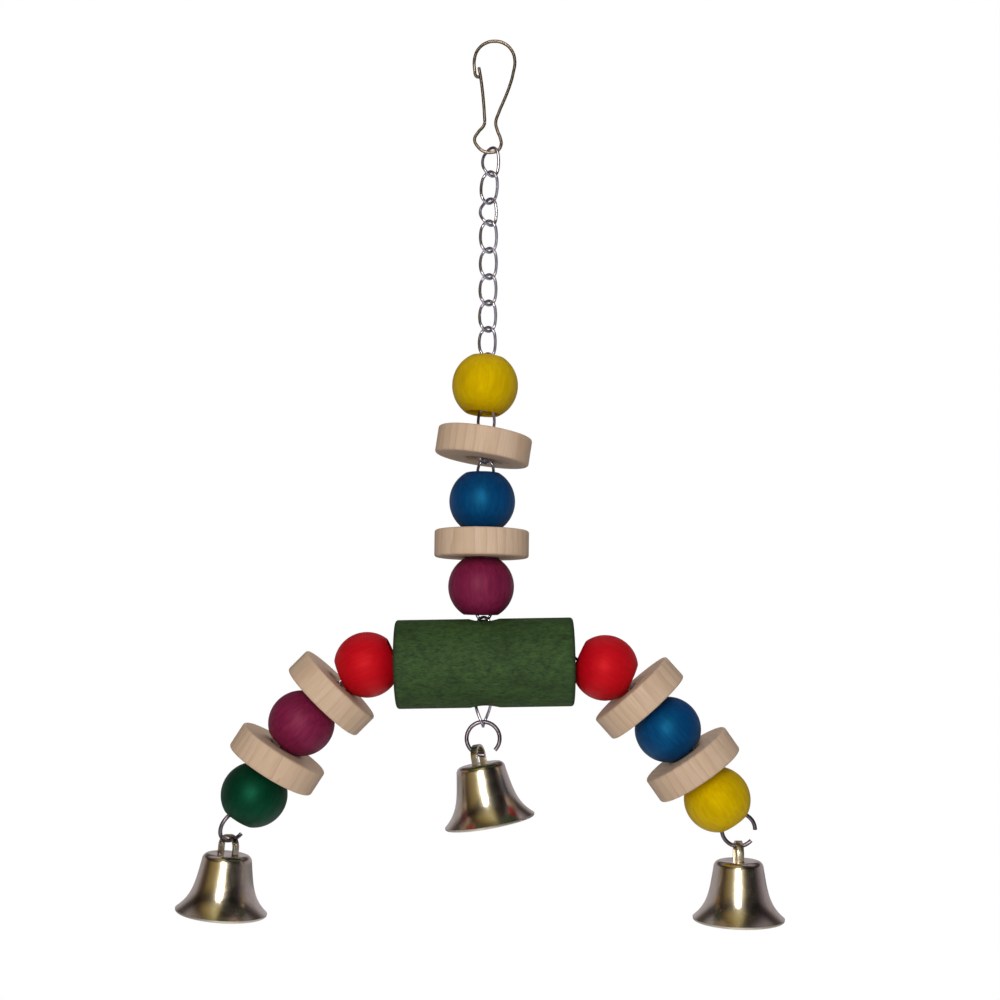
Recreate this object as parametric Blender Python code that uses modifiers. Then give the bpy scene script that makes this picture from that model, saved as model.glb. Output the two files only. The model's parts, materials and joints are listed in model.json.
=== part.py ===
"""Hanging bird perch toy: a snap hook, a twisted-link chain, drilled wooden beads and discs,
a wooden perch with two beaded arms, and three small bells.

Blender 4.5, metres, +Z up. The origin is the inner top of the hook's bow, where the toy hangs.
+X is the right-hand arm and -Y is the front. Each moving group has an empty on its joint, whose
+Z is the joint's axis and whose properties hold the motion and its limits.
"""

import math

import bmesh
import bpy
from mathutils import Matrix, Vector

MM = 0.001
NAME = "hanging_bird_perch_toy"

# Clearances between neighbours
WIRE_GAP = 0.3 * MM
SEAT_GAP = 0.25 * MM
RUN_GAP = 0.3 * MM

# Chain
LINK_WIRE = 0.9 * MM
LINK_PITCH = 8.0 * MM
LINK_WIDTH = 5.8 * MM
LINK_TWIST = math.radians(90)
JOINED_BITE = 0.3 * MM
SWINGING_LINKS = 6
STRAIGHT_LINKS = 2
COLUMN_LINKS = 9
PERCH_LINKS = 2
LOOSE_LEANS = [math.radians(a) for a in (-1, -5, 1, 0)]
LOOSE_TILTS = [math.radians(a) for a in (-12, 12, -20, 8)]
COLUMN_LEAN = math.radians(-0.75)

# Snap hook
HOOK_WIRE = 1.0 * MM
HOOK_GATE_SPLIT = 0.3 * MM
GATE_OPENING = 12.0

# Drilled wood
BEAD_DIAMETER = 20.0 * MM
DISC_DIAMETER = 28.7 * MM
DISC_THICKNESS = 8.2 * MM
DISC_EDGE = 0.7 * MM
BORE_DIAMETER = 9.2 * MM
MOUTH_FLARE = 0.6 * MM
STACK_SHIFT = -0.9 * MM
LOOSE_DISC_SLACK = 3.8 * MM
LOOSE_DISC_TILT = math.radians(8)
LOOSE_DISC_SHIFT = -0.7 * MM
LOOSE_BEAD_SLACK = 5.5 * MM
LOOSE_BEAD_TILT = math.radians(5)
LOOSE_BEAD_SHIFT = -0.5 * MM
LOOSE_BEAD_RISE = 14.0 * MM

# Perch
PERCH_DIAMETER = 27.0 * MM
PERCH_LENGTH = 53.7 * MM
PERCH_EDGE = 1.0 * MM
PERCH_TURN = math.radians(-0.9)
PERCH_SHIFT = 0.5 * MM
CROSSING_RISE = 1.4 * MM

# Arms: droops below the horizontal of the three stretches, from the perch outwards
LEFT_DROOPS = [math.radians(a) for a in (22, 45, 57)]
RIGHT_DROOPS = [math.radians(a) for a in (24, 48, 55)]
LEFT_RISE = 1.0 * MM
RIGHT_RISE = 0.2 * MM
INNER_LINKS = 4
MIDDLE_LINKS = 3
OUTER_LINKS = 4

# Jump rings
RING_WIRE = 1.25 * MM
RING_DIAMETER = 11.3 * MM
RING_OPENING = math.radians(40)
LEFT_RING_TURN = math.radians(55)

# Bells
BELL_LIP_DIAMETER = 28.0 * MM
BELL_HEIGHT = 18.2 * MM
BELL_WALL = 0.8 * MM
CROWN_DIAMETER = 15.0 * MM
SHOULDER = 2.0 * MM
SKIRT_DIAMETER = 21.6 * MM
FLARE_HEIGHT = 3.9 * MM
STRAP_HEIGHT = 6.0 * MM
STRAP_WIDTH = 7.6 * MM
STRAP_BREADTH = 2.0 * MM
STRAP_THICKNESS = 0.8 * MM
STRAP_DEPTH = 3.6 * MM
CLAPPER_BALL = 5.6 * MM
CLAPPER_WIRE = 0.8 * MM
CLAPPER_LENGTH = 12.4 * MM
LEFT_BELL_LEAN = math.radians(-6.5)
CENTRE_BELL_LEAN = math.radians(10)
CENTRE_BELL_PLACE = math.radians(-108)
CENTRE_BELL_YAW = math.radians(-20)
CENTRE_BELL_SLACK = 1.3 * MM

# Fineness of the meshes
WIRE_SIDES = 1
HIDDEN_SIDES = 0
CROWN_STEPS = 4
FREE_LEG_STEPS = 3
JOINED_LEG_STEPS = 1
BEAD_STEPS = 18
BEAD_ARC_STEPS = 6
DISC_STEPS = 24
PERCH_STEPS = 28
BELL_STEPS = 22

# Derived sizes
LINK_RADIUS = (LINK_WIDTH - LINK_WIRE) / 2
FREE_EXTRA = (LINK_WIRE + WIRE_GAP) / 2
JOINED_EXTRA = (LINK_WIRE - JOINED_BITE) / 2
BEAD_RADIUS = BEAD_DIAMETER / 2
BORE_RADIUS = BORE_DIAMETER / 2
MOUTH_RADIUS = BORE_RADIUS + MOUTH_FLARE
RING_RADIUS = (RING_DIAMETER - RING_WIRE) / 2
RING_SEAT = (LINK_WIRE + RING_WIRE) / 2 + WIRE_GAP
BELL_DROP = STRAP_HEIGHT - STRAP_THICKNESS - RING_WIRE / 2 - WIRE_GAP

DOWN = Vector((0, 0, -1))
RIGHT = Vector((1, 0, 0))
BACK = Vector((0, 1, 0))

COLOURS = {
    "nickel wire": ((0.42, 0.38, 0.34), 0.30, 1.0),
    "zinc chain": ((0.55, 0.55, 0.60), 0.28, 1.0),
    "dark ring steel": ((0.13, 0.11, 0.14), 0.35, 1.0),
    "bell nickel": ((0.52, 0.46, 0.38), 0.18, 1.0),
    "natural wood": ((0.62, 0.45, 0.30), 0.60, 0.0),
    "yellow stain": ((0.52, 0.36, 0.01), 0.45, 0.0),
    "blue stain": ((0.01, 0.06, 0.16), 0.40, 0.0),
    "purple stain": ((0.16, 0.01, 0.05), 0.42, 0.0),
    "red stain": ((0.55, 0.01, 0.02), 0.40, 0.0),
    "green stain": ((0.01, 0.07, 0.03), 0.40, 0.0),
    "perch green stain": ((0.04, 0.10, 0.03), 0.60, 0.0),
}


def clear_scene():
    for obj in list(bpy.data.objects):
        bpy.data.objects.remove(obj, do_unlink=True)


def new_collection(name):
    found = bpy.data.collections.new(name)
    bpy.context.scene.collection.children.link(found)
    return found


def material(name):
    """The Principled material of this finish, made on its first use."""
    found = bpy.data.materials.get(name)
    if found:
        return found
    colour, roughness, metallic = COLOURS[name]
    found = bpy.data.materials.new(name)
    found.use_nodes = True
    shader = found.node_tree.nodes["Principled BSDF"]
    shader.inputs["Base Color"].default_value = (*colour, 1.0)
    shader.inputs["Roughness"].default_value = roughness
    shader.inputs["Metallic"].default_value = metallic
    return found


class Body:
    """A group of pieces that moves as one, on an empty whose +Z is its joint's axis."""

    def __init__(self, name, parent, at, axis, motion="fixed", low=0.0, high=0.0):
        self.name = name
        turn = Vector(axis).to_track_quat("Z", "Y").to_matrix().to_4x4()
        self.frame = Matrix.Translation(at) @ turn
        self.empty = bpy.data.objects.new("joint_" + name, None)
        self.empty.empty_display_size = 4 * MM
        self.empty["motion"] = motion
        self.empty["limits"] = (low, high)
        parts.objects.link(self.empty)
        if parent:
            self.empty.parent = parent.empty
            self.empty.matrix_parent_inverse = parent.frame.inverted()
        self.empty.matrix_basis = self.frame

    def add(self, obj, name, frame, finish):
        """Names a piece, dresses it and puts it at this world frame on the body."""
        obj.name = name
        obj.data.name = name
        obj.data.materials.clear()
        obj.data.materials.append(material(finish))
        obj.parent = self.empty
        obj.matrix_parent_inverse = self.frame.inverted()
        obj.matrix_basis = frame
        return obj


def mesh_object(name, mesh, collection=None):
    obj = bpy.data.objects.new(name, mesh)
    (collection or parts).objects.link(obj)
    return obj


def cutter_object(name, mesh, frame=None):
    obj = mesh_object(name, mesh, cutters)
    obj.hide_render = True
    obj.display_type = "WIRE"
    if frame:
        obj.matrix_basis = frame
    return obj


def boolean(obj, other, operation):
    modifier = obj.modifiers.new(operation.lower(), "BOOLEAN")
    modifier.object = other
    modifier.operation = operation
    modifier.solver = "EXACT"


def turned(name, profile, steps, closed, smooth_below=40):
    """A profile of (radius, height) turned about Z. It runs down the outer side."""
    mesh = bpy.data.meshes.new(name)
    points = [(r, 0, z) for r, z in profile]
    edges = [(i, i + 1) for i in range(len(points) - 1)]
    if closed:
        edges.append((len(points) - 1, 0))
    mesh.from_pydata(points, edges, [])
    obj = mesh_object(name, mesh)
    screw = obj.modifiers.new("turn", "SCREW")
    screw.steps = steps
    screw.render_steps = steps
    screw.use_merge_vertices = True
    screw.merge_threshold = 1e-5
    screw.use_smooth_shade = True
    return obj


def applied(obj, sharp_deg=40):
    """The object with its modifiers made part of its mesh."""
    bpy.context.view_layer.update()
    seen = obj.evaluated_get(bpy.context.evaluated_depsgraph_get())
    mesh = bpy.data.meshes.new_from_object(seen)
    work = bmesh.new()
    work.from_mesh(mesh)
    bmesh.ops.remove_doubles(work, verts=work.verts, dist=1e-6)
    bmesh.ops.recalc_face_normals(work, faces=work.faces)
    work.to_mesh(mesh)
    work.free()
    mesh.shade_smooth()
    mesh.set_sharp_from_angle(angle=math.radians(sharp_deg))
    made = mesh_object(obj.name + "_mesh", mesh)
    made.matrix_basis = obj.matrix_basis.copy()
    bpy.data.objects.remove(obj, do_unlink=True)
    return made


def wire_curve(name, points, diameter, closed=False, sides=WIRE_SIDES):
    """A round wire along these points, with filled ends where it is open."""
    data = bpy.data.curves.new(name, "CURVE")
    data.dimensions = "3D"
    data.bevel_depth = diameter / 2
    data.bevel_resolution = sides
    data.use_fill_caps = not closed
    spline = data.splines.new("POLY")
    spline.points.add(len(points) - 1)
    for point, place in zip(spline.points, points):
        point.co = (*place, 1.0)
    spline.use_cyclic_u = closed
    spline.use_smooth = True
    return mesh_object(name, data)


def smooth_wire(name, points, diameter, steps=3, sides=1):
    """A round wire bent smoothly through these points."""
    data = bpy.data.curves.new(name, "CURVE")
    data.dimensions = "3D"
    data.bevel_depth = diameter / 2
    data.bevel_resolution = sides
    data.use_fill_caps = True
    data.resolution_u = steps
    spline = data.splines.new("BEZIER")
    spline.bezier_points.add(len(points) - 1)
    for point, place in zip(spline.bezier_points, points):
        point.co = place
        point.handle_left_type = "AUTO"
        point.handle_right_type = "AUTO"
    return mesh_object(name, data)


def along(centre, direction, roll=0.0, side=RIGHT):
    """A frame at centre whose -Z is direction and whose +X lies nearest to side, rolled about Z."""
    z = -direction.normalized()
    x = (side - side.dot(z) * z).normalized()
    y = z.cross(x)
    turn = Matrix((x, y, z)).transposed().to_4x4()
    return Matrix.Translation(centre) @ turn @ Matrix.Rotation(roll, 4, "Z")


def link_points(top, bottom, leg_steps):
    """The centreline of a twisted link: a crown each end, turned a quarter turn from each other.

    top and bottom are how far the crowns' wire centres lie from the link's middle.
    """
    high, low = top - LINK_RADIUS, bottom - LINK_RADIUS
    flat = []
    for i in range(CROWN_STEPS + 1):
        a = math.pi * i / CROWN_STEPS
        flat.append((LINK_RADIUS * math.cos(a), high + LINK_RADIUS * math.sin(a)))
    for i in range(1, leg_steps + 1):
        flat.append((-LINK_RADIUS, high - (high + low) * i / (leg_steps + 1)))
    for i in range(CROWN_STEPS + 1):
        a = math.pi + math.pi * i / CROWN_STEPS
        flat.append((LINK_RADIUS * math.cos(a), -low + LINK_RADIUS * math.sin(a)))
    for i in range(1, leg_steps + 1):
        flat.append((LINK_RADIUS, -low + (high + low) * i / (leg_steps + 1)))
    reach = high + LINK_RADIUS / 3
    points = []
    for x, z in flat:
        share = max(-1.0, min(1.0, z / reach))
        turn = -LINK_TWIST / 2 * math.sin(share * math.pi / 2)
        points.append((x * math.cos(turn), x * math.sin(turn), z))
    return points


def free_link(pitch=LINK_PITCH):
    """One separate link, clear of both its neighbours."""
    reach = pitch / 2 + FREE_EXTRA
    points = link_points(reach, reach, FREE_LEG_STEPS)
    return applied(wire_curve("link", points, LINK_WIRE, closed=True), 60)


def joined_links(name, frames, pitch):
    """Links hidden inside the wood, made one where each bears on the next. The end crowns stay clear."""
    halves = ([], [])
    for i, frame in enumerate(frames):
        top = pitch / 2 + (FREE_EXTRA if i == 0 else JOINED_EXTRA)
        bottom = pitch / 2 + (FREE_EXTRA if i == len(frames) - 1 else JOINED_EXTRA)
        points = [frame @ Vector(p) for p in link_points(top, bottom, JOINED_LEG_STEPS)]
        wire = wire_curve(f"{name}_{i}", points, LINK_WIRE, closed=True, sides=HIDDEN_SIDES)
        halves[i % 2].append(applied(wire, 60))
    groups = []
    for part, made in zip(("odd", "even"), halves):
        work = bmesh.new()
        for obj in made:
            work.from_mesh(obj.data)
            bpy.data.objects.remove(obj, do_unlink=True)
        mesh = bpy.data.meshes.new(f"{name}_{part}")
        work.to_mesh(mesh)
        work.free()
        groups.append(mesh)
    run = mesh_object(name, groups[0])
    boolean(run, cutter_object(name + "_bearing_half", groups[1]), "UNION")
    return run


def bead():
    """A drilled ball with softened mouths."""
    rim = math.asin(MOUTH_RADIUS / BEAD_RADIUS)
    profile = []
    for i in range(BEAD_ARC_STEPS + 1):
        a = rim + (math.pi - 2 * rim) * i / BEAD_ARC_STEPS
        profile.append((BEAD_RADIUS * math.sin(a), BEAD_RADIUS * math.cos(a)))
    bore_end = BEAD_RADIUS * math.cos(rim) - MOUTH_FLARE
    profile += [(BORE_RADIUS, -bore_end), (BORE_RADIUS, bore_end)]
    return turned("bead", profile, BEAD_STEPS, closed=True)


def disc():
    """A drilled slice of dowel with broken edges."""
    r, h = DISC_DIAMETER / 2, DISC_THICKNESS / 2
    profile = [
        (MOUTH_RADIUS, h),
        (r - DISC_EDGE, h),
        (r, h - DISC_EDGE),
        (r, DISC_EDGE - h),
        (r - DISC_EDGE, -h),
        (MOUTH_RADIUS, -h),
        (BORE_RADIUS, MOUTH_FLARE - h),
        (BORE_RADIUS, h - MOUTH_FLARE),
    ]
    return turned("disc", profile, DISC_STEPS, closed=True)


def perch():
    """The perch: a short dowel bored along its length for the arms and across for the chain."""
    r, h = PERCH_DIAMETER / 2, PERCH_LENGTH / 2
    profile = [
        (MOUTH_RADIUS, h),
        (r - PERCH_EDGE, h),
        (r, h - PERCH_EDGE),
        (r, PERCH_EDGE - h),
        (r - PERCH_EDGE, -h),
        (MOUTH_RADIUS, -h),
        (BORE_RADIUS, MOUTH_FLARE - h),
        (BORE_RADIUS, h - MOUTH_FLARE),
    ]
    body = turned("perch", profile, PERCH_STEPS, closed=True)
    hole = bpy.data.meshes.new("perch_cross_bore")
    work = bmesh.new()
    bmesh.ops.create_cone(
        work,
        cap_ends=True,
        segments=20,
        radius1=BORE_RADIUS,
        radius2=BORE_RADIUS,
        depth=PERCH_DIAMETER + 4 * MM,
        matrix=Matrix.Rotation(math.pi / 2, 4, "Y"),
    )
    work.to_mesh(hole)
    work.free()
    return body, hole


def seat(offset=0.0, mouth=None):
    """How far a bead's centre stands off a bore's mouth when it sits in it, off centre by offset."""
    radius = (mouth or MOUTH_RADIUS) - abs(offset)
    return math.sqrt((BEAD_RADIUS + SEAT_GAP) ** 2 - radius**2)


BEAD_TO_DISC = seat() + DISC_THICKNESS / 2


def jump_ring(opening_at):
    """An open ring of wire in its XZ plane, with its gap centred at this angle."""
    steps = 18
    span = 2 * math.pi - RING_OPENING
    points = []
    for i in range(steps + 1):
        a = opening_at + RING_OPENING / 2 + span * i / steps
        points.append((RING_RADIUS * math.cos(a), 0, RING_RADIUS * math.sin(a)))
    return applied(wire_curve("ring", points, RING_WIRE), 60)


def bell_profile():
    """The bell's wall, from the crown's centre down the outside and back up the inside."""
    crown, skirt, lip = CROWN_DIAMETER / 2, SKIRT_DIAMETER / 2, BELL_LIP_DIAMETER / 2
    waist = BELL_HEIGHT - FLARE_HEIGHT
    outer = [
        (0, 0),
        (crown - SHOULDER, 0),
        (crown - 0.35 * SHOULDER, -0.25 * SHOULDER),
        (crown, -SHOULDER),
        (skirt, -waist),
        (skirt + 0.35 * (lip - skirt), -waist - 0.55 * FLARE_HEIGHT),
        (lip, -BELL_HEIGHT + 0.35 * BELL_WALL),
        (lip - 0.25 * BELL_WALL, -BELL_HEIGHT),
    ]
    inner = [
        (skirt + 0.35 * (lip - skirt) - BELL_WALL, -waist - 0.75 * FLARE_HEIGHT),
        (skirt - BELL_WALL, -waist),
        (crown - BELL_WALL, -SHOULDER - 0.4 * BELL_WALL),
        (crown - SHOULDER, -BELL_WALL),
        (0, -BELL_WALL),
    ]
    return outer + inner


def strap_outline(half_width, top, bottom):
    """An upright oval, straight at the sides and round at both ends, as (x, z) points."""
    steps = 6
    points = []
    for i in range(steps + 1):
        a = math.pi * i / steps
        points.append((half_width * math.cos(a), top - half_width + half_width * math.sin(a)))
    for i in range(steps + 1):
        a = math.pi + math.pi * i / steps
        points.append((half_width * math.cos(a), -bottom + half_width + half_width * math.sin(a)))
    return points


def bell_strap():
    """The closed strap through the crown: its upper bow hangs on the ring and its lower one holds the clapper."""
    data = bpy.data.curves.new("strap", "CURVE")
    data.dimensions = "2D"
    data.fill_mode = "BOTH"
    data.extrude = STRAP_BREADTH / 2
    half = STRAP_WIDTH / 2
    lines = (
        strap_outline(half, STRAP_HEIGHT, STRAP_DEPTH),
        strap_outline(
            half - STRAP_THICKNESS, STRAP_HEIGHT - STRAP_THICKNESS, STRAP_DEPTH - STRAP_THICKNESS
        ),
    )
    for line in lines:
        spline = data.splines.new("POLY")
        spline.points.add(len(line) - 1)
        for point, (x, z) in zip(spline.points, line):
            point.co = (x, z, 0, 1)
        spline.use_cyclic_u = True
    flat = mesh_object("strap", data)
    flat.matrix_basis = Matrix.Rotation(math.pi / 2, 4, "X")
    made = applied(flat, 35)
    made.data.transform(made.matrix_basis)
    made.matrix_basis = Matrix.Identity(4)
    return made


def bell_shell():
    shell = turned("bell", bell_profile(), BELL_STEPS, closed=False)
    for side in (-1, 1):
        slot = bpy.data.meshes.new("strap_slot")
        work = bmesh.new()
        bmesh.ops.create_cube(work, size=1.0)
        size = (STRAP_THICKNESS + 2 * RUN_GAP, STRAP_BREADTH + 2 * RUN_GAP, 3 * BELL_WALL)
        bmesh.ops.scale(work, vec=size, verts=work.verts)
        middle = (side * (STRAP_WIDTH - STRAP_THICKNESS) / 2, 0, -BELL_WALL / 2)
        bmesh.ops.translate(work, vec=middle, verts=work.verts)
        work.to_mesh(slot)
        work.free()
        boolean(shell, cutter_object("strap_slot", slot), "DIFFERENCE")
    made = applied(shell, 35)
    return made


def clapper():
    """A ball on a wire whose eye closes round the strap's lower bow. Its origin is the bow's wire centre."""
    eye = math.hypot(STRAP_BREADTH, STRAP_THICKNESS) / 2 + RUN_GAP + CLAPPER_WIRE / 2
    points = []
    steps = 12
    for i in range(steps + 1):
        a = math.radians(-50 + 308 * i / steps)
        points.append((0, eye * math.cos(a), eye * math.sin(a)))
    points += [(0, 0, -eye - CLAPPER_WIRE), (0, 0, -CLAPPER_LENGTH)]
    made = applied(wire_curve("clapper", points, CLAPPER_WIRE), 60)
    ball = bpy.data.meshes.new("clapper_ball")
    work = bmesh.new()
    bmesh.ops.create_uvsphere(work, u_segments=12, v_segments=8, radius=CLAPPER_BALL / 2)
    bmesh.ops.translate(work, vec=(0, 0, -CLAPPER_LENGTH), verts=work.verts)
    work.to_mesh(ball)
    work.free()
    boolean(made, cutter_object("clapper_ball", ball), "UNION")
    return applied(made, 60)


def hook_points():
    """The snap hook's wire centreline in two stretches: the fixed frame, then the sprung gate."""
    wire = HOOK_WIRE / 2
    frame = [
        (-5.64, -9.27), (-5.80, -4.70), (-3.90, -1.20), (0.0, wire / MM), (4.10, -1.25),
        (6.10, -5.0), (4.61, -11.53), (3.26, -16.41), (0.75, -23.4), (2.30, -28.9),
        (1.35, -31.9), (-1.10, -33.43), (-3.90, -32.75), (-5.95, -29.49), (-4.90, -26.4),
        (-3.25, -24.35),
    ]
    gate = [(-3.42, -20.50), (-3.81, -13.69), (-4.52, -6.34)]
    return [Vector((x * MM, 0, z * MM)) for x, z in frame], [
        Vector((x * MM, 0, z * MM)) for x, z in gate
    ]


def snap_hook():
    """The hook's frame and its gate, which real hooks form in one wire and flex at the waist."""
    frame, gate = hook_points()
    split = frame[-1] + (gate[0] - frame[-1]).normalized() * HOOK_GATE_SPLIT
    hook = Body("hook", None, Vector((0, 0, 0)), BACK)
    hook.add(smooth_wire("frame", frame, HOOK_WIRE), "hook_frame", Matrix.Identity(4), "nickel wire")
    pivot = (frame[-1] + split) / 2
    body = Body("gate", hook, pivot, BACK, "hinge", 0.0, GATE_OPENING)
    body.add(smooth_wire("gate", [split, *gate], HOOK_WIRE), "hook_gate", Matrix.Identity(4), "nickel wire")
    bottom = min(frame, key=lambda p: p.z)
    return hook, bottom


def chain_directions():
    """The direction of each main-chain link, from the hook down to the crossing link."""
    count = SWINGING_LINKS + STRAIGHT_LINKS + COLUMN_LINKS + PERCH_LINKS
    found = []
    for i in range(count):
        lean = LOOSE_LEANS[i] if i < len(LOOSE_LEANS) else COLUMN_LEAN
        tilt = LOOSE_TILTS[i] if i < len(LOOSE_TILTS) else 0.0
        found.append(Vector((math.sin(lean), math.sin(tilt), -math.cos(lean) * math.cos(tilt))).normalized())
    return found


def main_chain(hook, hook_bottom):
    """The swinging links, one body each, and the contacts between all the main links."""
    start = hook_bottom + Vector((0, 0, (HOOK_WIRE + WIRE_GAP) / 2))
    contacts = [start]
    directions = chain_directions()
    for direction in directions:
        contacts.append(contacts[-1] + direction * LINK_PITCH)
    parent = hook
    for i in range(SWINGING_LINKS):
        sign = 1 if i % 4 < 2 else -1
        axis = (BACK if i % 2 == 0 else RIGHT) * sign
        body = Body(f"link_{i + 1}", parent, contacts[i], axis, "hinge", -20.0, 20.0)
        middle = (contacts[i] + contacts[i + 1]) / 2
        body.add(free_link(), f"chain_link_{i + 1}", along(middle, directions[i]), "zinc chain")
        parent = body
    return parent, contacts, directions


def column(parent, contacts, directions, perch_centre):
    """The straight stretch that the top bead slides along, with the beads and discs on it."""
    body = Body("column", parent, contacts[SWINGING_LINKS], BACK, "hinge", -20.0, 20.0)
    first = SWINGING_LINKS + STRAIGHT_LINKS
    last = first + COLUMN_LINKS
    for i in range(SWINGING_LINKS, first):
        middle = (contacts[i] + contacts[i + 1]) / 2
        body.add(free_link(), f"chain_link_{i + 1}", along(middle, directions[i]), "zinc chain")
    frames = [along((contacts[i] + contacts[i + 1]) / 2, directions[i]) for i in range(first, last)]
    body.add(joined_links("column_chain", frames, LINK_PITCH), "column_chain", Matrix.Identity(4), "zinc chain")
    line = directions[last]

    def on_line(height, shift):
        """A place on the column's line this far above the perch's centre, shifted sideways."""
        run = (contacts[last].z - perch_centre.z - height) / -line.z
        return contacts[last] + line * run + RIGHT * shift

    offset = PERCH_SHIFT - STACK_SHIFT
    height = PERCH_DIAMETER / 2 + seat(offset, BORE_RADIUS)
    stack = [
        ("bead_purple_top", bead, height, STACK_SHIFT, 0.0, "purple stain"),
        ("disc_lower", disc, height + BEAD_TO_DISC, STACK_SHIFT, 0.0, "natural wood"),
        ("bead_blue_top", bead, height + 2 * BEAD_TO_DISC, STACK_SHIFT, 0.0, "blue stain"),
    ]
    height += 3 * BEAD_TO_DISC + LOOSE_DISC_SLACK
    stack.append(("disc_upper", disc, height, LOOSE_DISC_SHIFT, LOOSE_DISC_TILT, "natural wood"))
    height += BEAD_TO_DISC + LOOSE_BEAD_SLACK
    for name, make, up, shift, tilt, finish in stack:
        place = on_line(up, shift)
        frame = along(place, line) @ Matrix.Rotation(tilt, 4, "Y")
        spinner = Body(name, body, place, frame.to_3x3() @ Vector((0, 0, 1)), "spin")
        spinner.add(make(), name, frame, finish)
    place = on_line(height, LOOSE_BEAD_SHIFT)
    frame = along(place, line) @ Matrix.Rotation(LOOSE_BEAD_TILT, 4, "Y")
    low = -(LOOSE_BEAD_SLACK - RUN_GAP)
    slider = Body("bead_yellow_top", body, place, -line, "slide", low, LOOSE_BEAD_RISE)
    slider.add(bead(), "bead_yellow_top", frame, "yellow stain")
    return body


def perch_group(parent, contacts, directions, centre, crossing):
    """The perch, the links through it and the crossing link that the arms hook round."""
    first = SWINGING_LINKS + STRAIGHT_LINKS + COLUMN_LINKS
    body = Body("perch", parent, contacts[first], BACK, "hinge", -8.0, 8.0)
    wood, hole = perch()
    turn = Matrix.Translation(centre) @ Matrix.Rotation(PERCH_TURN, 4, "Y")
    lying = turn @ Matrix.Rotation(math.pi / 2, 4, "Y")
    boolean(wood, cutter_object("perch_cross_bore", hole, lying), "DIFFERENCE")
    body.add(wood, "perch_dowel", lying, "perch green stain")
    line = directions[-1]
    number = first + 1
    for i in range(first, first + PERCH_LINKS):
        middle = (contacts[i] + contacts[i + 1]) / 2
        body.add(free_link(), f"chain_link_{number}", along(middle, directions[i]), "zinc chain")
        number += 1
    body.add(free_link(), "chain_crossing_link", along(crossing, line), "zinc chain")
    below = crossing + DOWN * LINK_PITCH
    body.add(free_link(), f"chain_link_{number}", along(below, DOWN), "zinc chain")
    tail = below + DOWN * LINK_PITCH
    roll = LINK_TWIST / 2
    body.add(free_link(), "chain_tail_link", along(tail, DOWN, roll), "zinc chain")
    crown = tail + DOWN * (LINK_PITCH / 2 + FREE_EXTRA)
    return body, crown


def bell(name, parent, ring_centre, ring_axes, place, lean, yaw=0.0, slack=0.0):
    """A bell on a ring: place is the angle on the ring, in its own axes, where the strap hangs."""
    across, up = ring_axes
    radial = across * math.cos(place) + up * math.sin(place)
    tangent = (-across * math.sin(place) + up * math.cos(place)).normalized()
    hang = ring_centre + radial * RING_RADIUS
    axis = Vector((math.sin(lean), 0, -math.cos(lean)))
    side = tangent.cross(-axis).normalized()
    frame = along(hang + axis * (BELL_DROP - slack), axis, yaw, side)
    body = Body("bell_" + name, parent, hang, tangent, "hinge", -20.0, 20.0)
    body.add(bell_shell(), f"bell_{name}_shell", frame, "bell nickel")
    body.add(bell_strap(), f"bell_{name}_strap", frame, "bell nickel")
    bow = frame @ Vector((0, 0, STRAP_THICKNESS / 2 - STRAP_DEPTH))
    swing = Body("clapper_" + name, body, bow, frame.to_3x3() @ RIGHT, "hinge", -32.0, 32.0)
    hung = Matrix.Translation(bow) @ frame.to_3x3().to_4x4()
    swing.add(clapper(), f"bell_{name}_clapper", hung, "bell nickel")


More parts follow.
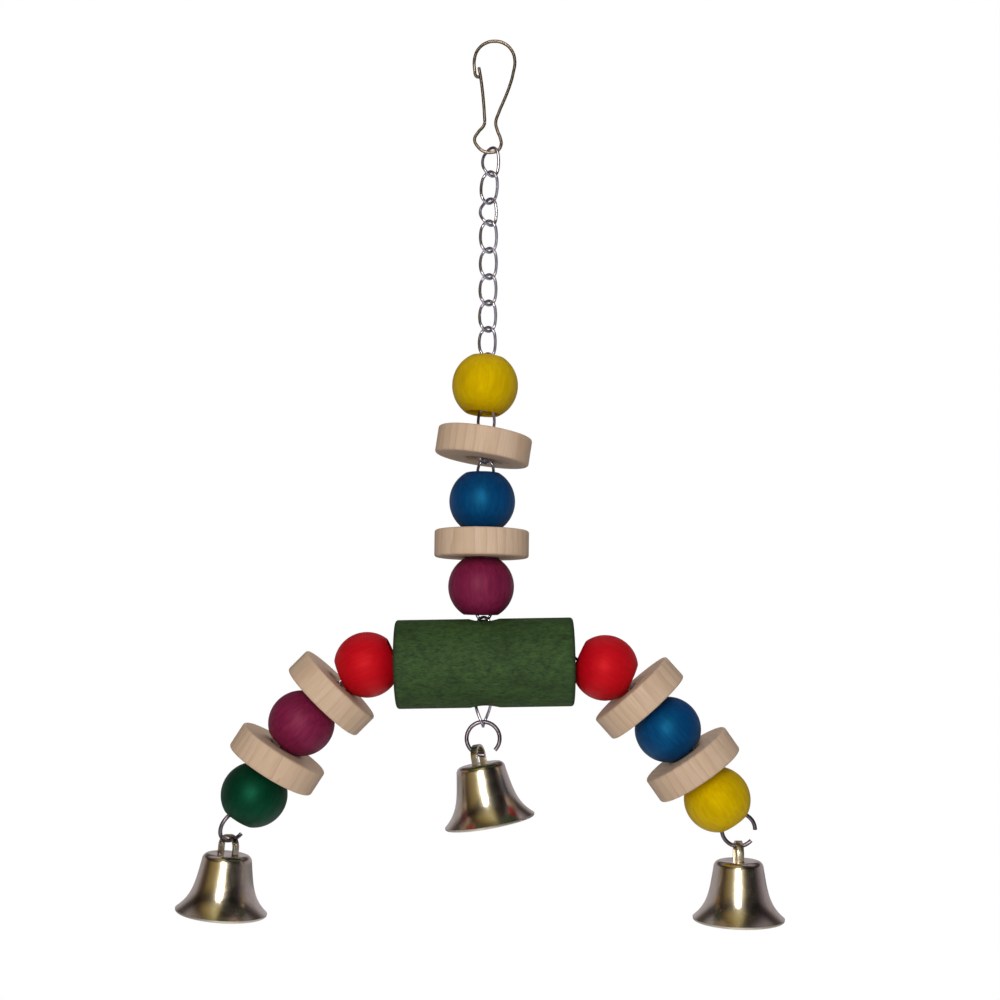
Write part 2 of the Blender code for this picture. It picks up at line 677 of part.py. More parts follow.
def arm(name, side, parent, centre, crossing, droops, rise, pieces, ring_turn):
    """One arm: a run of links inside the perch, then three stretches that carry the beads and discs.

    The red bead rides on a single link, and each later stretch hinges at a link's contact.
    """
    first, second, third = (Vector((side * math.cos(a), 0, -math.sin(a))) for a in droops)
    half = LINK_PITCH / 2
    end_centre = centre + Vector((side * math.cos(PERCH_TURN), 0, -side * math.sin(PERCH_TURN))) * (
        PERCH_LENGTH / 2
    )
    bead_z = centre.z + rise + half * first.z
    off = bead_z - end_centre.z
    bead_x = end_centre.x + side * seat(off)
    red = Vector((bead_x, crossing.y, bead_z))
    hinge_a = red - first * half
    start = crossing + RIGHT * side * (LINK_RADIUS - FREE_EXTRA)
    run = hinge_a - start
    pitch = run.length / INNER_LINKS
    frames = []
    for i in range(INNER_LINKS):
        middle = start + run * (i + 0.5) / INNER_LINKS
        frames.append(along(middle, run, 0.0, BACK))
    inner = joined_links(f"{name}_inner_chain", frames, pitch)
    parent.add(inner, f"{name}_inner_chain", Matrix.Identity(4), "zinc chain")

    lift = BACK * -side
    body_a = Body(f"{name}_root", parent, hinge_a, lift, "hinge", 0.0, math.degrees(droops[0]) - 2.0)
    body_a.add(free_link(), f"{name}_root_link", along(red, first, 0.0, BACK), "zinc chain")
    spinner = Body(f"{name}_bead_red", body_a, red, first, "spin")
    spinner.add(bead(), f"{name}_bead_red", along(red, first), "red stain")

    hinge_b = red + first * half
    bend = math.degrees(droops[1] - droops[0])
    body_b = Body(f"{name}_middle", body_a, hinge_b, lift, "hinge", 0.0, bend)
    frames = []
    for i in range(MIDDLE_LINKS):
        middle = hinge_b + second * LINK_PITCH * (i + 0.5)
        frames.append(along(middle, second, 0.0, BACK))
    links = joined_links(f"{name}_middle_chain", frames, LINK_PITCH)
    body_b.add(links, f"{name}_middle_chain", Matrix.Identity(4), "zinc chain")
    back = red - hinge_b
    run_b = back.dot(second)
    off_b = (back - second * run_b).length
    disc_at = hinge_b + second * (run_b + seat(off_b) + DISC_THICKNESS / 2)
    bead_at = disc_at + second * BEAD_TO_DISC
    for label, make, place, finish in (
        ("disc_inner", disc, disc_at, "natural wood"),
        (pieces[0][0], bead, bead_at, pieces[0][1]),
    ):
        spinner = Body(f"{name}_{label}", body_b, place, second, "spin")
        spinner.add(make(), f"{name}_{label}", along(place, second), finish)

    hinge_c = hinge_b + second * LINK_PITCH * MIDDLE_LINKS
    sway = second.cross(BACK).normalized()
    body_c = Body(f"{name}_outer", body_b, hinge_c, sway, "hinge", -12.0, 12.0)
    frames = []
    roll_end = ring_turn - LINK_TWIST / 2
    for i in range(OUTER_LINKS):
        middle = hinge_c + third * LINK_PITCH * (i + 0.5)
        frames.append(along(middle, third, roll_end * (i + 1) / OUTER_LINKS, BACK))
    links = joined_links(f"{name}_outer_chain", frames, LINK_PITCH)
    body_c.add(links, f"{name}_outer_chain", Matrix.Identity(4), "zinc chain")
    back = bead_at - hinge_c
    run_c = back.dot(third)
    off_c = (back - third * run_c).length
    disc_at = hinge_c + third * (run_c + seat(off_c) + DISC_THICKNESS / 2)
    bead_at = disc_at + third * BEAD_TO_DISC
    for label, make, place, finish in (
        ("disc_outer", disc, disc_at, "natural wood"),
        (pieces[1][0], bead, bead_at, pieces[1][1]),
    ):
        spinner = Body(f"{name}_{label}", body_c, place, third, "spin")
        spinner.add(make(), f"{name}_{label}", along(place, third), finish)

    crown = hinge_c + third * (LINK_PITCH * OUTER_LINKS + FREE_EXTRA)
    ring_at = crown + third * (RING_RADIUS - RING_SEAT)
    across_arm = third.cross(BACK).normalized()
    across = (across_arm * math.cos(ring_turn) + BACK * math.sin(ring_turn)).normalized()
    up = -third
    ring_body = Body(f"{name}_ring", body_c, ring_at, third, "hinge", -15.0, 15.0)
    normal = across.cross(up)
    turn = Matrix((across, -normal, up)).transposed().to_4x4()
    lowest = math.atan2(DOWN.dot(up), DOWN.dot(across))
    opening = lowest + math.radians(70)
    ring_body.add(
        jump_ring(opening), f"{name}_jump_ring", Matrix.Translation(ring_at) @ turn, "dark ring steel"
    )
    return ring_body, ring_at, (across, up), lowest


clear_scene()
parts = new_collection(NAME)
cutters = new_collection("cutters")

hook, hook_bottom = snap_hook()
last_link, contacts, directions = main_chain(hook, hook_bottom)
crossing = contacts[-1] + directions[-1] * (LINK_PITCH / 2)
perch_centre = crossing + Vector((PERCH_SHIFT, 0, -CROSSING_RISE))
column_body = column(last_link, contacts, directions, perch_centre)
perch_body, tail_crown = perch_group(column_body, contacts, directions, perch_centre, crossing)

ring_centre = tail_crown + Vector((0, 0, RING_SEAT - RING_RADIUS))
centre_ring = Body("centre_ring", perch_body, tail_crown, BACK, "hinge", -20.0, 20.0)
centre_ring.add(
    jump_ring(math.radians(-65)), "centre_jump_ring", Matrix.Translation(ring_centre), "dark ring steel"
)
bell(
    "centre",
    centre_ring,
    ring_centre,
    (RIGHT, -DOWN),
    CENTRE_BELL_PLACE,
    CENTRE_BELL_LEAN,
    CENTRE_BELL_YAW,
    CENTRE_BELL_SLACK,
)

ring_body, ring_at, axes, lowest = arm(
    "left",
    -1,
    perch_body,
    perch_centre,
    crossing,
    LEFT_DROOPS,
    LEFT_RISE,
    (("bead_purple", "purple stain"), ("bead_green", "green stain")),
    LEFT_RING_TURN,
)
bell("left", ring_body, ring_at, axes, lowest, LEFT_BELL_LEAN)
ring_body, ring_at, axes, lowest = arm(
    "right",
    1,
    perch_body,
    perch_centre,
    crossing,
    RIGHT_DROOPS,
    RIGHT_RISE,
    (("bead_blue", "blue stain"), ("bead_yellow", "yellow stain")),
    0.0,
)
bell("right", ring_body, ring_at, axes, lowest, 0.0)
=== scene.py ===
"""Looks of the hanging bird perch toy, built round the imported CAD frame.

Every piece that shows is modelled again at full fineness in its own axes, put where the CAD piece
is, and made to ride on that piece's body. Lengths are in metres unless a name ends in _mm.
"""

import json
import logging
import math
import random
from dataclasses import dataclass, field
from enum import Enum
from typing import Any, Callable, Iterable, Sequence

import bpy
from mathutils import Matrix, Vector

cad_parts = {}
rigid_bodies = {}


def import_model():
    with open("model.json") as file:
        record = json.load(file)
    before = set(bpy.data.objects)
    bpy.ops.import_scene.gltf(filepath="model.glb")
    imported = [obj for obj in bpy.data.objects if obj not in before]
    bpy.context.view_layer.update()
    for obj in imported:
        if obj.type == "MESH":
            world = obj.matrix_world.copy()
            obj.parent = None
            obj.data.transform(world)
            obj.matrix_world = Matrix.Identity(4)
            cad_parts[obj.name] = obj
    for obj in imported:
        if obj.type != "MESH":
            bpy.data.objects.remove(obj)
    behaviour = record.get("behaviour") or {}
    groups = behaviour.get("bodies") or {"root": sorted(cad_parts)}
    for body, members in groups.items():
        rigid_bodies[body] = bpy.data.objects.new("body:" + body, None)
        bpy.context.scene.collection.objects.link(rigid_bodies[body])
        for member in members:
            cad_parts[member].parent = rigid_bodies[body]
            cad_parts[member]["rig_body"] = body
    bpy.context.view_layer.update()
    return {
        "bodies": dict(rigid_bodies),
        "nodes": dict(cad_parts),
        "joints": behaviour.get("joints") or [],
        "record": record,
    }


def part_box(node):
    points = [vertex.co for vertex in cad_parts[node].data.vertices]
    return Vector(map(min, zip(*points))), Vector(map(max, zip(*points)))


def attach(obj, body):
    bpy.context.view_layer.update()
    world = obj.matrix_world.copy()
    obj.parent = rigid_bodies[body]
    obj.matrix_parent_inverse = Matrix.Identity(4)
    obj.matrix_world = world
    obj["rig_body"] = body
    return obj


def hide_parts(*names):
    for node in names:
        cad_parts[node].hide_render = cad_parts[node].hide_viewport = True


logging.basicConfig(level=logging.INFO, format="%(message)s")
LOG = logging.getLogger("perch_toy")

MM = 0.001
BACK = Vector((0.0, 1.0, 0.0))
RIGHT = Vector((1.0, 0.0, 0.0))
UP = Vector((0.0, 0.0, 1.0))

Profile = Sequence[tuple[float, float]]


class Slot(Enum):
    """The record's material slots."""

    HOOK = "hook_nickel"
    CHAIN = "chain_steel"
    RING = "ring_steel"
    BELL = "bell_nickel"
    NATURAL = "natural_wood"
    YELLOW = "yellow_stained_wood"
    BLUE = "blue_stained_wood"
    PURPLE = "purple_stained_wood"
    RED = "red_stained_wood"
    GREEN = "green_stained_wood"
    PERCH = "perch_stained_wood"


class Side(Enum):
    """The two arms, and which way along X each runs."""

    LEFT = -1
    RIGHT = 1


class Hanging(Enum):
    """Where a bell hangs."""

    CENTRE = "centre"
    LEFT = "left"
    RIGHT = "right"


class Boolean(Enum):
    """What one object does to another."""

    CUT = "DIFFERENCE"
    JOIN = "UNION"


class Kind(Enum):
    """The kinds of shader node in use."""

    ATTRIBUTE = "ShaderNodeAttribute"
    BACKGROUND = "ShaderNodeBackground"
    BUMP = "ShaderNodeBump"
    COMBINE = "ShaderNodeCombineXYZ"
    COORDINATES = "ShaderNodeTexCoord"
    EMISSION = "ShaderNodeEmission"
    LIGHT_PATH = "ShaderNodeLightPath"
    MATHS = "ShaderNodeMath"
    MIX = "ShaderNodeMix"
    MIX_SHADER = "ShaderNodeMixShader"
    NOISE = "ShaderNodeTexNoise"
    RAMP = "ShaderNodeValToRGB"
    RANGE = "ShaderNodeMapRange"
    SEPARATE = "ShaderNodeSeparateXYZ"
    VECTOR_MATHS = "ShaderNodeVectorMath"
    WORLD_OUTPUT = "ShaderNodeOutputWorld"


# Materials


def srgb(code: str) -> tuple[float, float, float, float]:
    """Turns an sRGB hex code into linear light.

    Args:
        code: Six hex digits after a hash sign.

    Returns:
        Red, green, blue and an alpha of one.
    """
    channels = [int(code[i : i + 2], 16) / 255 for i in (1, 3, 5)]
    linear = [c / 12.92 if c <= 0.04045 else ((c + 0.055) / 1.055) ** 2.4 for c in channels]
    return (linear[0], linear[1], linear[2], 1.0)


class Nodes:
    """A tree of shader nodes under construction."""

    def __init__(self, tree: bpy.types.NodeTree) -> None:
        """Takes on a material's or a world's tree."""
        self.tree = tree

    def add(self, kind: Kind, inputs: dict[Any, Any] | None = None, **settings: Any) -> Any:
        """Adds one node.

        Args:
            kind: What kind of node it is.
            inputs: Socket name or number to a constant or to another node's output.
            settings: The node's own properties.

        Returns:
            The new node's outputs.
        """
        node = self.tree.nodes.new(kind.value)
        for key, value in settings.items():
            setattr(node, key, value)
        self.feed(node, inputs or {})
        return node.outputs

    def feed(self, node: bpy.types.Node, inputs: dict[Any, Any]) -> None:
        """Gives a node's sockets their constants and links.

        Args:
            node: The node.
            inputs: Socket name or number to a constant or to another node's output.
        """
        for key, value in inputs.items():
            if isinstance(value, bpy.types.NodeSocket):
                self.tree.links.new(value, node.inputs[key])
            else:
                node.inputs[key].default_value = value


@dataclass(frozen=True)
class Grain:
    """A cloudy pattern with cells of a real size, across the piece's Z and along it."""

    across_mm: float
    along_mm: float
    detail: float = 3.0
    rough: float = 0.55


class Shader(Nodes):
    """The nodes of one material, whose patterns lie in the piece's own millimetres."""

    seed_steps: tuple[float, float, float] = (37.0, 61.0, 23.0)

    def __init__(self, name: str) -> None:
        """Starts a material.

        Args:
            name: The material's name.
        """
        self.material = bpy.data.materials.new(name)
        self.material.use_nodes = True
        super().__init__(self.material.node_tree)
        self.principled = self.tree.nodes["Principled BSDF"]

    def surface(self, inputs: dict[Any, Any]) -> None:
        """Gives the sockets of the material's own shader."""
        self.feed(self.principled, inputs)

    def own_place(self) -> tuple[Any, Any]:
        """Reads the piece's own coordinates.

        Returns:
            They in millimetres, plain and moved by the piece's seed.
        """
        local = self.add(Kind.ATTRIBUTE, attribute_name="local_mm")["Vector"]
        seed = self.add(Kind.ATTRIBUTE, attribute_name="seed")["Fac"]
        steps = {
            i: self.add(Kind.MATHS, {0: seed, 1: step}, operation="MULTIPLY")[0]
            for i, step in enumerate(self.seed_steps)
        }
        shift = self.add(Kind.COMBINE, steps)[0]
        return local, self.add(Kind.VECTOR_MATHS, {0: local, 1: shift}, operation="ADD")[0]

    def grain(self, place: Any, grain: Grain) -> Any:
        """Lays a cloudy pattern over the piece.

        Args:
            place: The coordinates that it reads, in millimetres.
            grain: The pattern's sizes.

        Returns:
            The pattern's value, mostly from 0.2 to 0.8.
        """
        cells = (1 / grain.across_mm, 1 / grain.across_mm, 1 / grain.along_mm)
        stretched = self.add(Kind.VECTOR_MATHS, {0: place, 1: cells}, operation="MULTIPLY")[0]
        inputs = {"Vector": stretched, "Scale": 1.0}
        inputs |= {"Detail": grain.detail, "Roughness": grain.rough}
        return self.add(Kind.NOISE, inputs)[0]

    def from_axis(self, place: Any) -> Any:
        """Measures how far a place is from its Z axis.

        Args:
            place: The coordinates to read.

        Returns:
            The distance, in the units of the place.
        """
        x, y, _ = self.add(Kind.SEPARATE, {0: place})
        flat = self.add(Kind.COMBINE, {0: x, 1: y})[0]
        return self.add(Kind.VECTOR_MATHS, {0: flat}, operation="LENGTH")["Value"]

    def layer(self, base: Any, colour: str, value: Any, low: float, high: float, depth: float = 1.0) -> Any:
        """Lays a colour over another one where a pattern says.

        Args:
            base: The colour under it.
            colour: The colour on top.
            value: The pattern's value.
            low: The value at which the colour starts to show.
            high: The value at which it shows the most.
            depth: How much it shows there, from 0 to 1.

        Returns:
            The mixed colour.
        """
        limits = {"Value": value, "From Min": low, "From Max": high, "To Max": depth}
        mask = self.add(Kind.RANGE, limits)[0]
        return self.add(Kind.MIX, {0: mask, 6: base, 7: srgb(colour)}, data_type="RGBA")[2]


@dataclass(frozen=True)
class StainedBeech:
    """Dyed turned beech: uneven along the fibres, darker in the end grain round the bore."""

    label: str
    slot: Slot
    light: str
    dark: str
    patch: str
    patch_share: float
    streak_mm: float
    roughness: float
    sheen: str
    rim_depth: float
    rim_mm: tuple[float, float] = (7.4, 4.8)
    blotches: Grain = Grain(5.5, 8.0)
    # Real pores and fibres are finer. These, and the streaks, are drawn coarse so that they show.
    pores: Grain = Grain(0.22, 2.2, 2.0, 0.5)

    def paint(self) -> bpy.types.Material:
        """Makes the material.

        Returns:
            The material, matt, with a soft sheen of the dye's own colour.
        """
        shader = Shader(self.label)
        local, moved = shader.own_place()
        fibres = shader.grain(moved, Grain(self.streak_mm, self.streak_mm * 12))
        blotches = shader.grain(moved, self.blotches)
        pores = shader.grain(moved, self.pores)
        base = shader.layer(srgb(self.dark), self.light, fibres, 0.34, 0.66)
        low = 0.64 - 0.22 * self.patch_share
        base = shader.layer(base, self.patch, blotches, low, low + 0.22, 0.4)
        base = shader.layer(base, self.patch, pores, 0.66, 0.76, 0.25)
        base = shader.layer(base, self.patch, shader.from_axis(local), *self.rim_mm, self.rim_depth)
        limits = {"Value": fibres, "From Min": 0.3, "From Max": 0.7}
        limits |= {"To Min": self.roughness + 0.06, "To Max": self.roughness - 0.03}
        dents = shader.add(Kind.MATHS, {0: pores, 1: -0.5}, operation="MULTIPLY")[0]
        relief = shader.add(Kind.MATHS, {0: fibres, 1: 0.6, 2: dents}, operation="MULTIPLY_ADD")[0]
        bump = {"Height": relief, "Strength": 0.16, "Distance": 0.10 * MM}
        shader.surface({
            "Base Color": base,
            "Roughness": shader.add(Kind.RANGE, limits)[0],
            "Specular IOR Level": 0.9,
            "Specular Tint": srgb(self.sheen),
            "Normal": shader.add(Kind.BUMP, bump)[0],
        })
        return shader.material


@dataclass(frozen=True)
class StainedDowel:
    """Dye on an unsanded dowel: short broken fibres along it and a few stray flecks."""

    label: str
    slot: Slot
    light: str
    dark: str
    end: str
    fleck: str
    roughness: float
    half_length_mm: float = 26.85
    end_fade_mm: float = 1.45
    # Real fibres are finer. These are drawn coarse so that they show.
    fibres: Grain = Grain(0.42, 1.3, 3.0, 0.6)
    mottle: Grain = Grain(1.2, 2.2, 4.0, 0.65)
    clouds: Grain = Grain(7.0, 16.0, 2.0, 0.5)
    flecks: Grain = Grain(1.3, 1.6, 1.0, 0.5)

    def paint(self) -> bpy.types.Material:
        """Makes the material.

        Returns:
            The material, matt and rough, with darker ends.
        """
        shader = Shader(self.label)
        local, moved = shader.own_place()
        fibres = shader.grain(moved, self.fibres)
        mottle = shader.grain(moved, self.mottle)
        fine = {"Value": fibres, "From Min": 0.33, "From Max": 0.68, "To Max": 0.5}
        coarse = {"Value": mottle, "From Min": 0.34, "From Max": 0.66, "To Max": 0.5}
        parts = {0: shader.add(Kind.RANGE, fine)[0], 1: shader.add(Kind.RANGE, coarse)[0]}
        tone = shader.add(Kind.MATHS, parts, operation="ADD")[0]
        base = shader.layer(srgb(self.dark), self.light, tone, 0.0, 1.0)
        base = shader.layer(base, self.end, shader.grain(moved, self.clouds), 0.45, 0.75, 0.5)
        base = shader.layer(base, self.fleck, shader.grain(moved, self.flecks), 0.765, 0.80, 0.6)
        along = shader.add(Kind.SEPARATE, {0: local})[2]
        away = shader.add(Kind.MATHS, {0: along}, operation="ABSOLUTE")[0]
        fade_from = self.half_length_mm - self.end_fade_mm
        base = shader.layer(base, self.end, away, fade_from, self.half_length_mm, 0.75)
        relief = shader.add(Kind.MATHS, {0: mottle, 1: 0.5, 2: fibres}, operation="MULTIPLY_ADD")[0]
        bump = {"Height": relief, "Strength": 0.6, "Distance": 0.18 * MM}
        shader.surface({
            "Base Color": base,
            "Roughness": self.roughness,
            "Specular IOR Level": 0.3,
            "Normal": shader.add(Kind.BUMP, bump)[0],
        })
        return shader.material


@dataclass(frozen=True)
class BareBeech:
    """Sanded beech: growth rings as arcs on the sawn faces and as lines on the turned side."""

    label: str
    slot: Slot
    early: str
    late: str
    tint: str
    ray: str
    ring_mm: float
    roughness: float
    pith_mm: tuple[float, float, float] = (31.0, 9.0, 0.0)
    warp: Grain = Grain(7.0, 30.0, 2.0, 0.5)
    # Real fibres are finer. These are drawn coarse so that they show.
    fibres: Grain = Grain(0.35, 7.0, 3.0, 0.55)
    rays: Grain = Grain(0.16, 1.3, 2.0, 0.5)
    clouds: Grain = Grain(9.0, 30.0, 1.0, 0.5)

    def paint(self) -> bpy.types.Material:
        """Makes the material.

        Returns:
            The material, pale and matt, with rings about a pith outside the piece.
        """
        shader = Shader(self.label)
        local, moved = shader.own_place()
        warp = shader.grain(moved, self.warp)
        fibres = shader.grain(moved, self.fibres)
        to_pith = tuple(-c for c in self.pith_mm)
        from_pith = shader.add(Kind.VECTOR_MATHS, {0: local, 1: to_pith}, operation="ADD")[0]
        away = shader.from_axis(from_pith)
        rings = shader.add(Kind.MATHS, {0: away, 1: self.ring_mm}, operation="DIVIDE")[0]
        count = shader.add(Kind.MATHS, {0: warp, 1: 1.6, 2: rings}, operation="MULTIPLY_ADD")[0]
        phase = shader.add(Kind.MATHS, {0: count}, operation="FRACT")[0]
        edge = shader.add(Kind.MATHS, {0: phase, 1: 3.0}, operation="POWER")[0]
        limits = {"Value": warp, "From Min": 0.3, "From Max": 0.7, "To Min": 0.25, "To Max": 0.6}
        strength = shader.add(Kind.RANGE, limits)[0]
        line = shader.add(Kind.MATHS, {0: edge, 1: strength}, operation="MULTIPLY")[0]
        base = shader.layer(srgb(self.early), self.late, line, 0.0, 1.0)
        base = shader.layer(base, self.late, fibres, 0.35, 0.8, 0.35)
        base = shader.layer(base, self.ray, shader.grain(moved, self.rays), 0.62, 0.8, 0.30)
        base = shader.layer(base, self.tint, shader.grain(moved, self.clouds), 0.35, 0.75, 0.4)
        bump = {"Height": fibres, "Strength": 0.22, "Distance": 0.08 * MM}
        shader.surface({
            "Base Color": base,
            "Roughness": self.roughness,
            "Specular IOR Level": 0.35,
            "Normal": shader.add(Kind.BUMP, bump)[0],
        })
        return shader.material


@dataclass(frozen=True)
class PlatedSteel:
    """Plated wire or sheet: faint drawing marks and clouds of tarnish."""

    label: str
    slot: Slot
    colour: str
    tarnish: str
    tarnish_share: float
    roughness: float
    # Real drawing marks are finer. They are drawn this coarse so that they show.
    grain_mm: float
    bump: float
    lining: str | None = None
    clouds: Grain = Grain(3.0, 4.0, 3.0, 0.6)

    def paint(self) -> bpy.types.Material:
        """Makes the material.

        Returns:
            The material, all metal, with the lining's colour where the piece is hollow.
        """
        shader = Shader(self.label)
        _, moved = shader.own_place()
        clouds = shader.grain(moved, self.clouds)
        marks = shader.grain(moved, Grain(self.grain_mm * 6, self.grain_mm, 3.0, 0.6))
        plate = shader.layer(srgb(self.colour), self.tarnish, clouds, 0.42, 0.72, self.tarnish_share)
        if self.lining:
            inside = shader.add(Kind.ATTRIBUTE, attribute_name="inside")["Fac"]
            plate = shader.layer(plate, self.lining, inside, 0.0, 1.0)
        limits = {"Value": clouds, "From Min": 0.3, "From Max": 0.75}
        limits |= {"To Min": self.roughness, "To Max": self.roughness + 0.10}
        rough = {0: marks, 1: 0.04, 2: shader.add(Kind.RANGE, limits)[0]}
        bump = {"Height": marks, "Strength": self.bump, "Distance": 0.05 * MM}
        shader.surface({
            "Base Color": plate,
            "Metallic": 1.0,
            "Roughness": shader.add(Kind.MATHS, rough, operation="MULTIPLY_ADD")[0],
            "Normal": shader.add(Kind.BUMP, bump)[0],
        })
        return shader.material


# Turned beech dipped in yellow dye: a bright matt skin, its fibres only just showing.
YELLOW_STAIN = StainedBeech(
    "yellow dye stained beech", Slot.YELLOW, "#C7A700", "#B89700", "#A47A06",
    patch_share=0.45, streak_mm=0.9, roughness=0.55, sheen="#FFE000", rim_depth=0.35,
)
# The same in blue: deep, nearly black at the sides, with a clear blue sheen in front.
BLUE_STAIN = StainedBeech(
    "blue dye stained beech", Slot.BLUE, "#033B70", "#022E5C", "#02204A",
    patch_share=0.35, streak_mm=0.9, roughness=0.50, sheen="#3AC4FA", rim_depth=0.60,
)
# The same in purple: a dull wine colour with soft dark fibres.
PURPLE_STAIN = StainedBeech(
    "purple dye stained beech", Slot.PURPLE, "#761840", "#600E32", "#4A0828",
    patch_share=0.40, streak_mm=0.9, roughness=0.52, sheen="#C8788E", rim_depth=0.60,
)
# The same in red: strong and even, with hardly any grain.
RED_STAIN = StainedBeech(
    "red dye stained beech", Slot.RED, "#BB0A1B", "#AE0615", "#980410",
    patch_share=0.25, streak_mm=0.8, roughness=0.52, sheen="#FF5050", rim_depth=0.35,
)
# The same in green: very dark, with a soft green sheen.
GREEN_STAIN = StainedBeech(
    "green dye stained beech", Slot.GREEN, "#012F1D", "#012514", "#011A0E",
    patch_share=0.35, streak_mm=0.9, roughness=0.50, sheen="#40B48C", rim_depth=0.55,
)
# A dowel left rough for the bird's feet and dyed green: flat, mottled and darker at its ends.
PERCH_STAIN = StainedDowel(
    "green dye stained perch dowel", Slot.PERCH, "#3C5A2A", "#12280F", end="#12240E", fleck="#6A3A22",
    roughness=0.78,
)
# Sawn and sanded beech: pale pinkish tan, with fine growth lines.
BARE_BEECH = BareBeech(
    "bare sanded beech", Slot.NATURAL, "#C8B09A", "#A08064", tint="#B89C80", ray="#9A744C",
    ring_mm=2.6, roughness=0.66,
)
# Nickel on drawn spring steel: a dull warm grey with brown tarnish.
HOOK_NICKEL = PlatedSteel(
    "nickel plated spring wire", Slot.HOOK, "#86786A", "#4A4034",
    tarnish_share=0.40, roughness=0.30, grain_mm=0.35, bump=0.06,
)
# Nickel on tumbled steel wire: small bright glints over a violet grey.
CHAIN_NICKEL = PlatedSteel(
    "nickel plated chain wire", Slot.CHAIN, "#C2BFD0", "#6E6876",
    tarnish_share=0.35, roughness=0.22, grain_mm=0.30, bump=0.05,
)
# Dark nickel on coiled steel wire: a dark violet grey with a soft gleam.
RING_STEEL = PlatedSteel(
    "dark nickel jump ring wire", Slot.RING, "#7E7480", "#3C323C",
    tarnish_share=0.45, roughness=0.25, grain_mm=0.35, bump=0.06,
)
# Nickel on pressed and polished steel: clear bands of the room, and a brassy inside.
BELL_NICKEL = PlatedSteel(
    "polished nickel plated bell steel", Slot.BELL, "#E2DACA", "#B09C76",
    tarnish_share=0.24, roughness=0.17, grain_mm=0.60, bump=0.02, lining="#B8862E",
)

Finish = StainedBeech | StainedDowel | BareBeech | PlatedSteel


class Paint:
    """The materials, each made on its first use."""

    def __init__(self) -> None:
        """Starts with none."""
        self.made: dict[str, bpy.types.Material] = {}

    def of(self, finish: Finish) -> bpy.types.Material:
        """Gives the material of a finish.

        Args:
            finish: The finish.

        Returns:
            Its material.
        """
        if finish.label not in self.made:
            self.made[finish.label] = finish.paint()
        return self.made[finish.label]


PAINT = Paint()

# Modelling steps


def deselect() -> None:
    """Leaves nothing selected, in object mode."""
    if bpy.context.object and bpy.context.object.mode != "OBJECT":
        bpy.ops.object.mode_set(mode="OBJECT")
    bpy.ops.object.select_all(action="DESELECT")


def activate(obj: bpy.types.Object) -> None:
    """Selects one object alone.

    Args:
        obj: The object.
    """
    deselect()
    obj.select_set(True)
    bpy.context.view_layer.objects.active = obj


def shade(obj: bpy.types.Object, sharp_deg: float) -> None:
    """Shades an object smooth, but sharp at the edges that bend more than an angle."""
    activate(obj)
    bpy.ops.object.shade_smooth_by_angle(angle=math.radians(sharp_deg))


def weld() -> None:
    """Merges the active object's doubled points and turns its faces outwards."""
    bpy.ops.object.mode_set(mode="EDIT")
    bpy.ops.mesh.select_all(action="SELECT")
    bpy.ops.mesh.remove_doubles(threshold=1e-7)
    bpy.ops.mesh.normals_make_consistent(inside=False)
    bpy.ops.object.mode_set(mode="OBJECT")


def lathe(name: str, profile: Profile, segments: int, capped: bool, sharp_deg: float) -> bpy.types.Object:
    """Turns a profile about Z by drawing a circle out through each of its points.

    Args:
        name: The new object's name.
        profile: Radius and height of each point, in millimetres.
        segments: How many sides the circle has.
        capped: Whether both ends are closed by caps. Otherwise the profile runs back to its start.
        sharp_deg: Edges that bend more than this are shaded sharp.

    Returns:
        The turned object.
    """
    deselect()
    points = list(profile) + ([] if capped else [profile[0]])
    radius, height = points[0]
    bpy.ops.mesh.primitive_circle_add(
        vertices=segments, radius=radius * MM, location=(0, 0, height * MM), fill_type="NOTHING"
    )
    obj = bpy.context.object
    obj.name = name
    bpy.ops.object.transform_apply(location=True, rotation=False, scale=False)
    bpy.ops.object.mode_set(mode="EDIT")
    bpy.ops.mesh.select_all(action="SELECT")
    if capped:
        bpy.ops.mesh.edge_face_add()
        bpy.ops.mesh.poke()
        bpy.ops.mesh.select_all(action="DESELECT")
        bpy.ops.mesh.select_non_manifold()
    for next_radius, next_height in points[1:]:
        rise = {"value": (0, 0, (next_height - height) * MM)}
        bpy.ops.mesh.extrude_edges_move(TRANSFORM_OT_translate=rise)
        ratio = next_radius / radius
        bpy.ops.transform.resize(value=(ratio, ratio, 1), center_override=(0, 0, next_height * MM))
        radius, height = next_radius, next_height
    if capped:
        bpy.ops.mesh.edge_face_add()
        bpy.ops.mesh.poke()
    weld()
    shade(obj, sharp_deg)
    return obj


def empty_curve(name: str) -> bpy.types.Object:
    """Adds a curve object and clears its points.

    Args:
        name: The new object's name.

    Returns:
        The active curve object.
    """
    deselect()
    bpy.ops.curve.primitive_nurbs_path_add()
    obj = bpy.context.object
    obj.name = name
    obj.data.splines.clear()
    return obj


